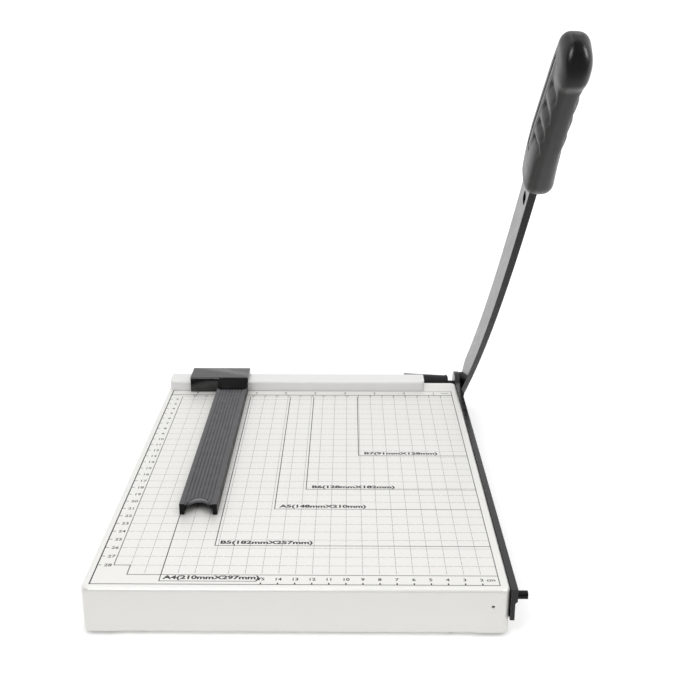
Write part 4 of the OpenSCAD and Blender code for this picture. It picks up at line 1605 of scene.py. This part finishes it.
@dataclass(frozen=True)
class SoftBox:
    """An area lamp that looks at a point; it may show only in shiny surfaces, or not in them."""

    name: str
    place: Point
    aim: Point
    size: Pair
    power: float
    mirrored: bool = True
    lights: bool = True

    def build(self) -> None:
        """Puts the lamp in the scene."""
        data = bpy.data.lights.new(self.name, "AREA")
        data.shape = "RECTANGLE"
        data.size, data.size_y = self.size
        data.energy = self.power
        lamp = new_object(self.name, data)
        lamp.visible_glossy, lamp.visible_diffuse = self.mirrored, self.lights
        way = (Vector(self.aim) - Vector(self.place)).to_track_quat("-Z", "Y")
        lamp.matrix_world = Matrix.Translation(self.place) @ way.to_matrix().to_4x4()


@dataclass
class Studio:
    """Pale floor, soft light and the camera."""

    camera_at: Point = (0.0217, -0.6593, 0.3590)
    camera_tilt: float = math.radians(70.79)
    camera_turn: float = math.radians(0.47)
    lens: float = 52.91
    sensor: float = 36.0
    clip: Pair = (0.01, 200.0)
    ambient: float = 0.5
    room_dim: float = 0.05
    room_behind: Pair = (-0.35, 0.1)
    room_above: Pair = (0.82, 0.92)
    floor_side: float = 60.0
    floor_tone: float = 0.82
    floor_mirror_tone: float = 0.2
    floor_front: Pair = (-0.45, -0.15)
    floor_fade: Pair = (0.3, 1.6)
    floor_glow: Pair = (0.33, 0.75)
    boxes: tuple[SoftBox, ...] = (
        SoftBox("soft_box_above", (0.0, 0.1, 1.7), (0.0, 0.1, 0.0), (2.0, 1.8), 12.9),
        SoftBox("soft_box_left", (-0.6, -1.1, 1.5), (0.0, 0.0, 0.15), (0.4, 0.8), 6.0, mirrored=False),
        SoftBox("soft_box_right", (0.9, -0.95, 1.45), (0.05, 0.0, 0.15), (0.4, 0.8), 6.0, mirrored=False),
        SoftBox("card_left", (-0.177, -0.55, 0.469), (0.13, -0.18, 0.33), (0.17, 0.24), 1.4, lights=False),
        SoftBox("card_right", (0.55, -0.403, 0.481), (0.13, -0.18, 0.33), (0.17, 0.24), 1.7, lights=False),
    )

    def world(self) -> None:
        """White behind the object, a dimmer room for diffuse light and in front."""
        world = bpy.data.worlds.new("studio_room")
        world.use_nodes = True
        bpy.context.scene.world = world
        bench = Bench(world.node_tree)
        path = bench.add("ShaderNodeLightPath").outputs
        way = bench.parts(bench.where("Generated"))
        behind = bench.ramp(way["Y"], *self.room_behind, self.room_dim, 1.0)
        wall = bench.product(behind, bench.ramp(way["Z"], *self.room_above, 1.0, self.room_dim))
        mirror = bench.product(wall, path["Is Glossy Ray"])
        straight = bench.math("MAXIMUM", path["Is Camera Ray"], path["Is Transmission Ray"])
        shown = bench.math("MAXIMUM", mirror, straight)
        level = bench.math("MAXIMUM", shown, bench.product(path["Is Diffuse Ray"], self.ambient))
        back = world.node_tree.nodes["Background"]
        back.inputs["Color"].default_value = (1.0, 1.0, 1.0, 1.0)
        bench.link(level, back, "Strength")

    def floor(self) -> None:
        """A pale floor that keeps the shadow and turns white with distance."""
        half = self.floor_side / 2
        corners = [(-half, -half, 0), (half, -half, 0), (half, half, 0), (-half, half, 0)]
        mesh = bpy.data.meshes.new("studio_floor")
        mesh.from_pydata(corners, [], [(0, 1, 2, 3)])
        floor = new_object("studio_floor", mesh)
        material = bpy.data.materials.new("pale_floor")
        material.use_nodes = True
        material.node_tree.nodes.clear()
        bench = Bench(material.node_tree)
        place = bench.where("Object")
        far = bench.add("ShaderNodeVectorMath", {0: place}, operation="LENGTH").outputs["Value"]
        past_front = bench.ramp(bench.parts(place)["Y"], *self.floor_front)
        path = bench.add("ShaderNodeLightPath").outputs
        straight = bench.math("MAXIMUM", path["Is Camera Ray"], path["Is Transmission Ray"])
        seen = bench.math("MAXIMUM", straight, bench.product(path["Is Glossy Ray"], past_front))
        glow = bench.product(bench.ramp(far, *self.floor_fade, *self.floor_glow), seen)
        before = bench.product(bench.math("SUBTRACT", 1.0, past_front), path["Is Glossy Ray"])
        tone = bench.ramp(before, 0.0, 1.0, self.floor_tone, self.floor_mirror_tone)
        matt = bench.result("ShaderNodeBsdfDiffuse", {"Color": tone})
        light = bench.result("ShaderNodeEmission", {"Strength": glow})
        both = bench.result("ShaderNodeAddShader", {0: matt, 1: light})
        bench.add("ShaderNodeOutputMaterial", {"Surface": both})
        mesh.materials.append(material)

    def camera(self) -> None:
        """The camera at the photograph's angle."""
        data = bpy.data.cameras.new("camera")
        data.lens, data.sensor_width, data.sensor_fit = self.lens, self.sensor, "AUTO"
        data.clip_start, data.clip_end = self.clip
        camera = new_object("camera", data)
        camera.location = self.camera_at
        camera.rotation_euler = (self.camera_tilt, 0.0, self.camera_turn)
        bpy.context.scene.camera = camera

    def build(self) -> None:
        """Sets the stage."""
        bpy.context.scene.view_settings.view_transform = "Standard"
        self.camera()
        self.world()
        self.floor()
        for box in self.boxes:
            box.build()


def main() -> None:
    """Builds the trimmer's pieces in order."""
    logging.basicConfig(level=logging.INFO, format="%(name)s: %(message)s")
    zero = Zero.from_solids()
    row = FastenerRow()
    Studio().build()
    Tray(CrossScrews("rail_screws", 3, 3.5, Axis.UP, Body.BASE)).build(row)
    FixedBlade(CrossScrews("fixed_blade_screws", 4, 4.0, Axis.RIGHT, Body.BASE)).build(row)
    pivot = Pivot(zero)
    pivot.build()
    grip_screws = CrossScrews("grip_screws", 2, 3.0, Axis.LEFT, Body.ARM)
    BladeArm(pivot, Grip(), grip_screws).build(row)
    Gauge().build()
    DeckPrint(zero).build()


if __name__ == "__main__":
    main()
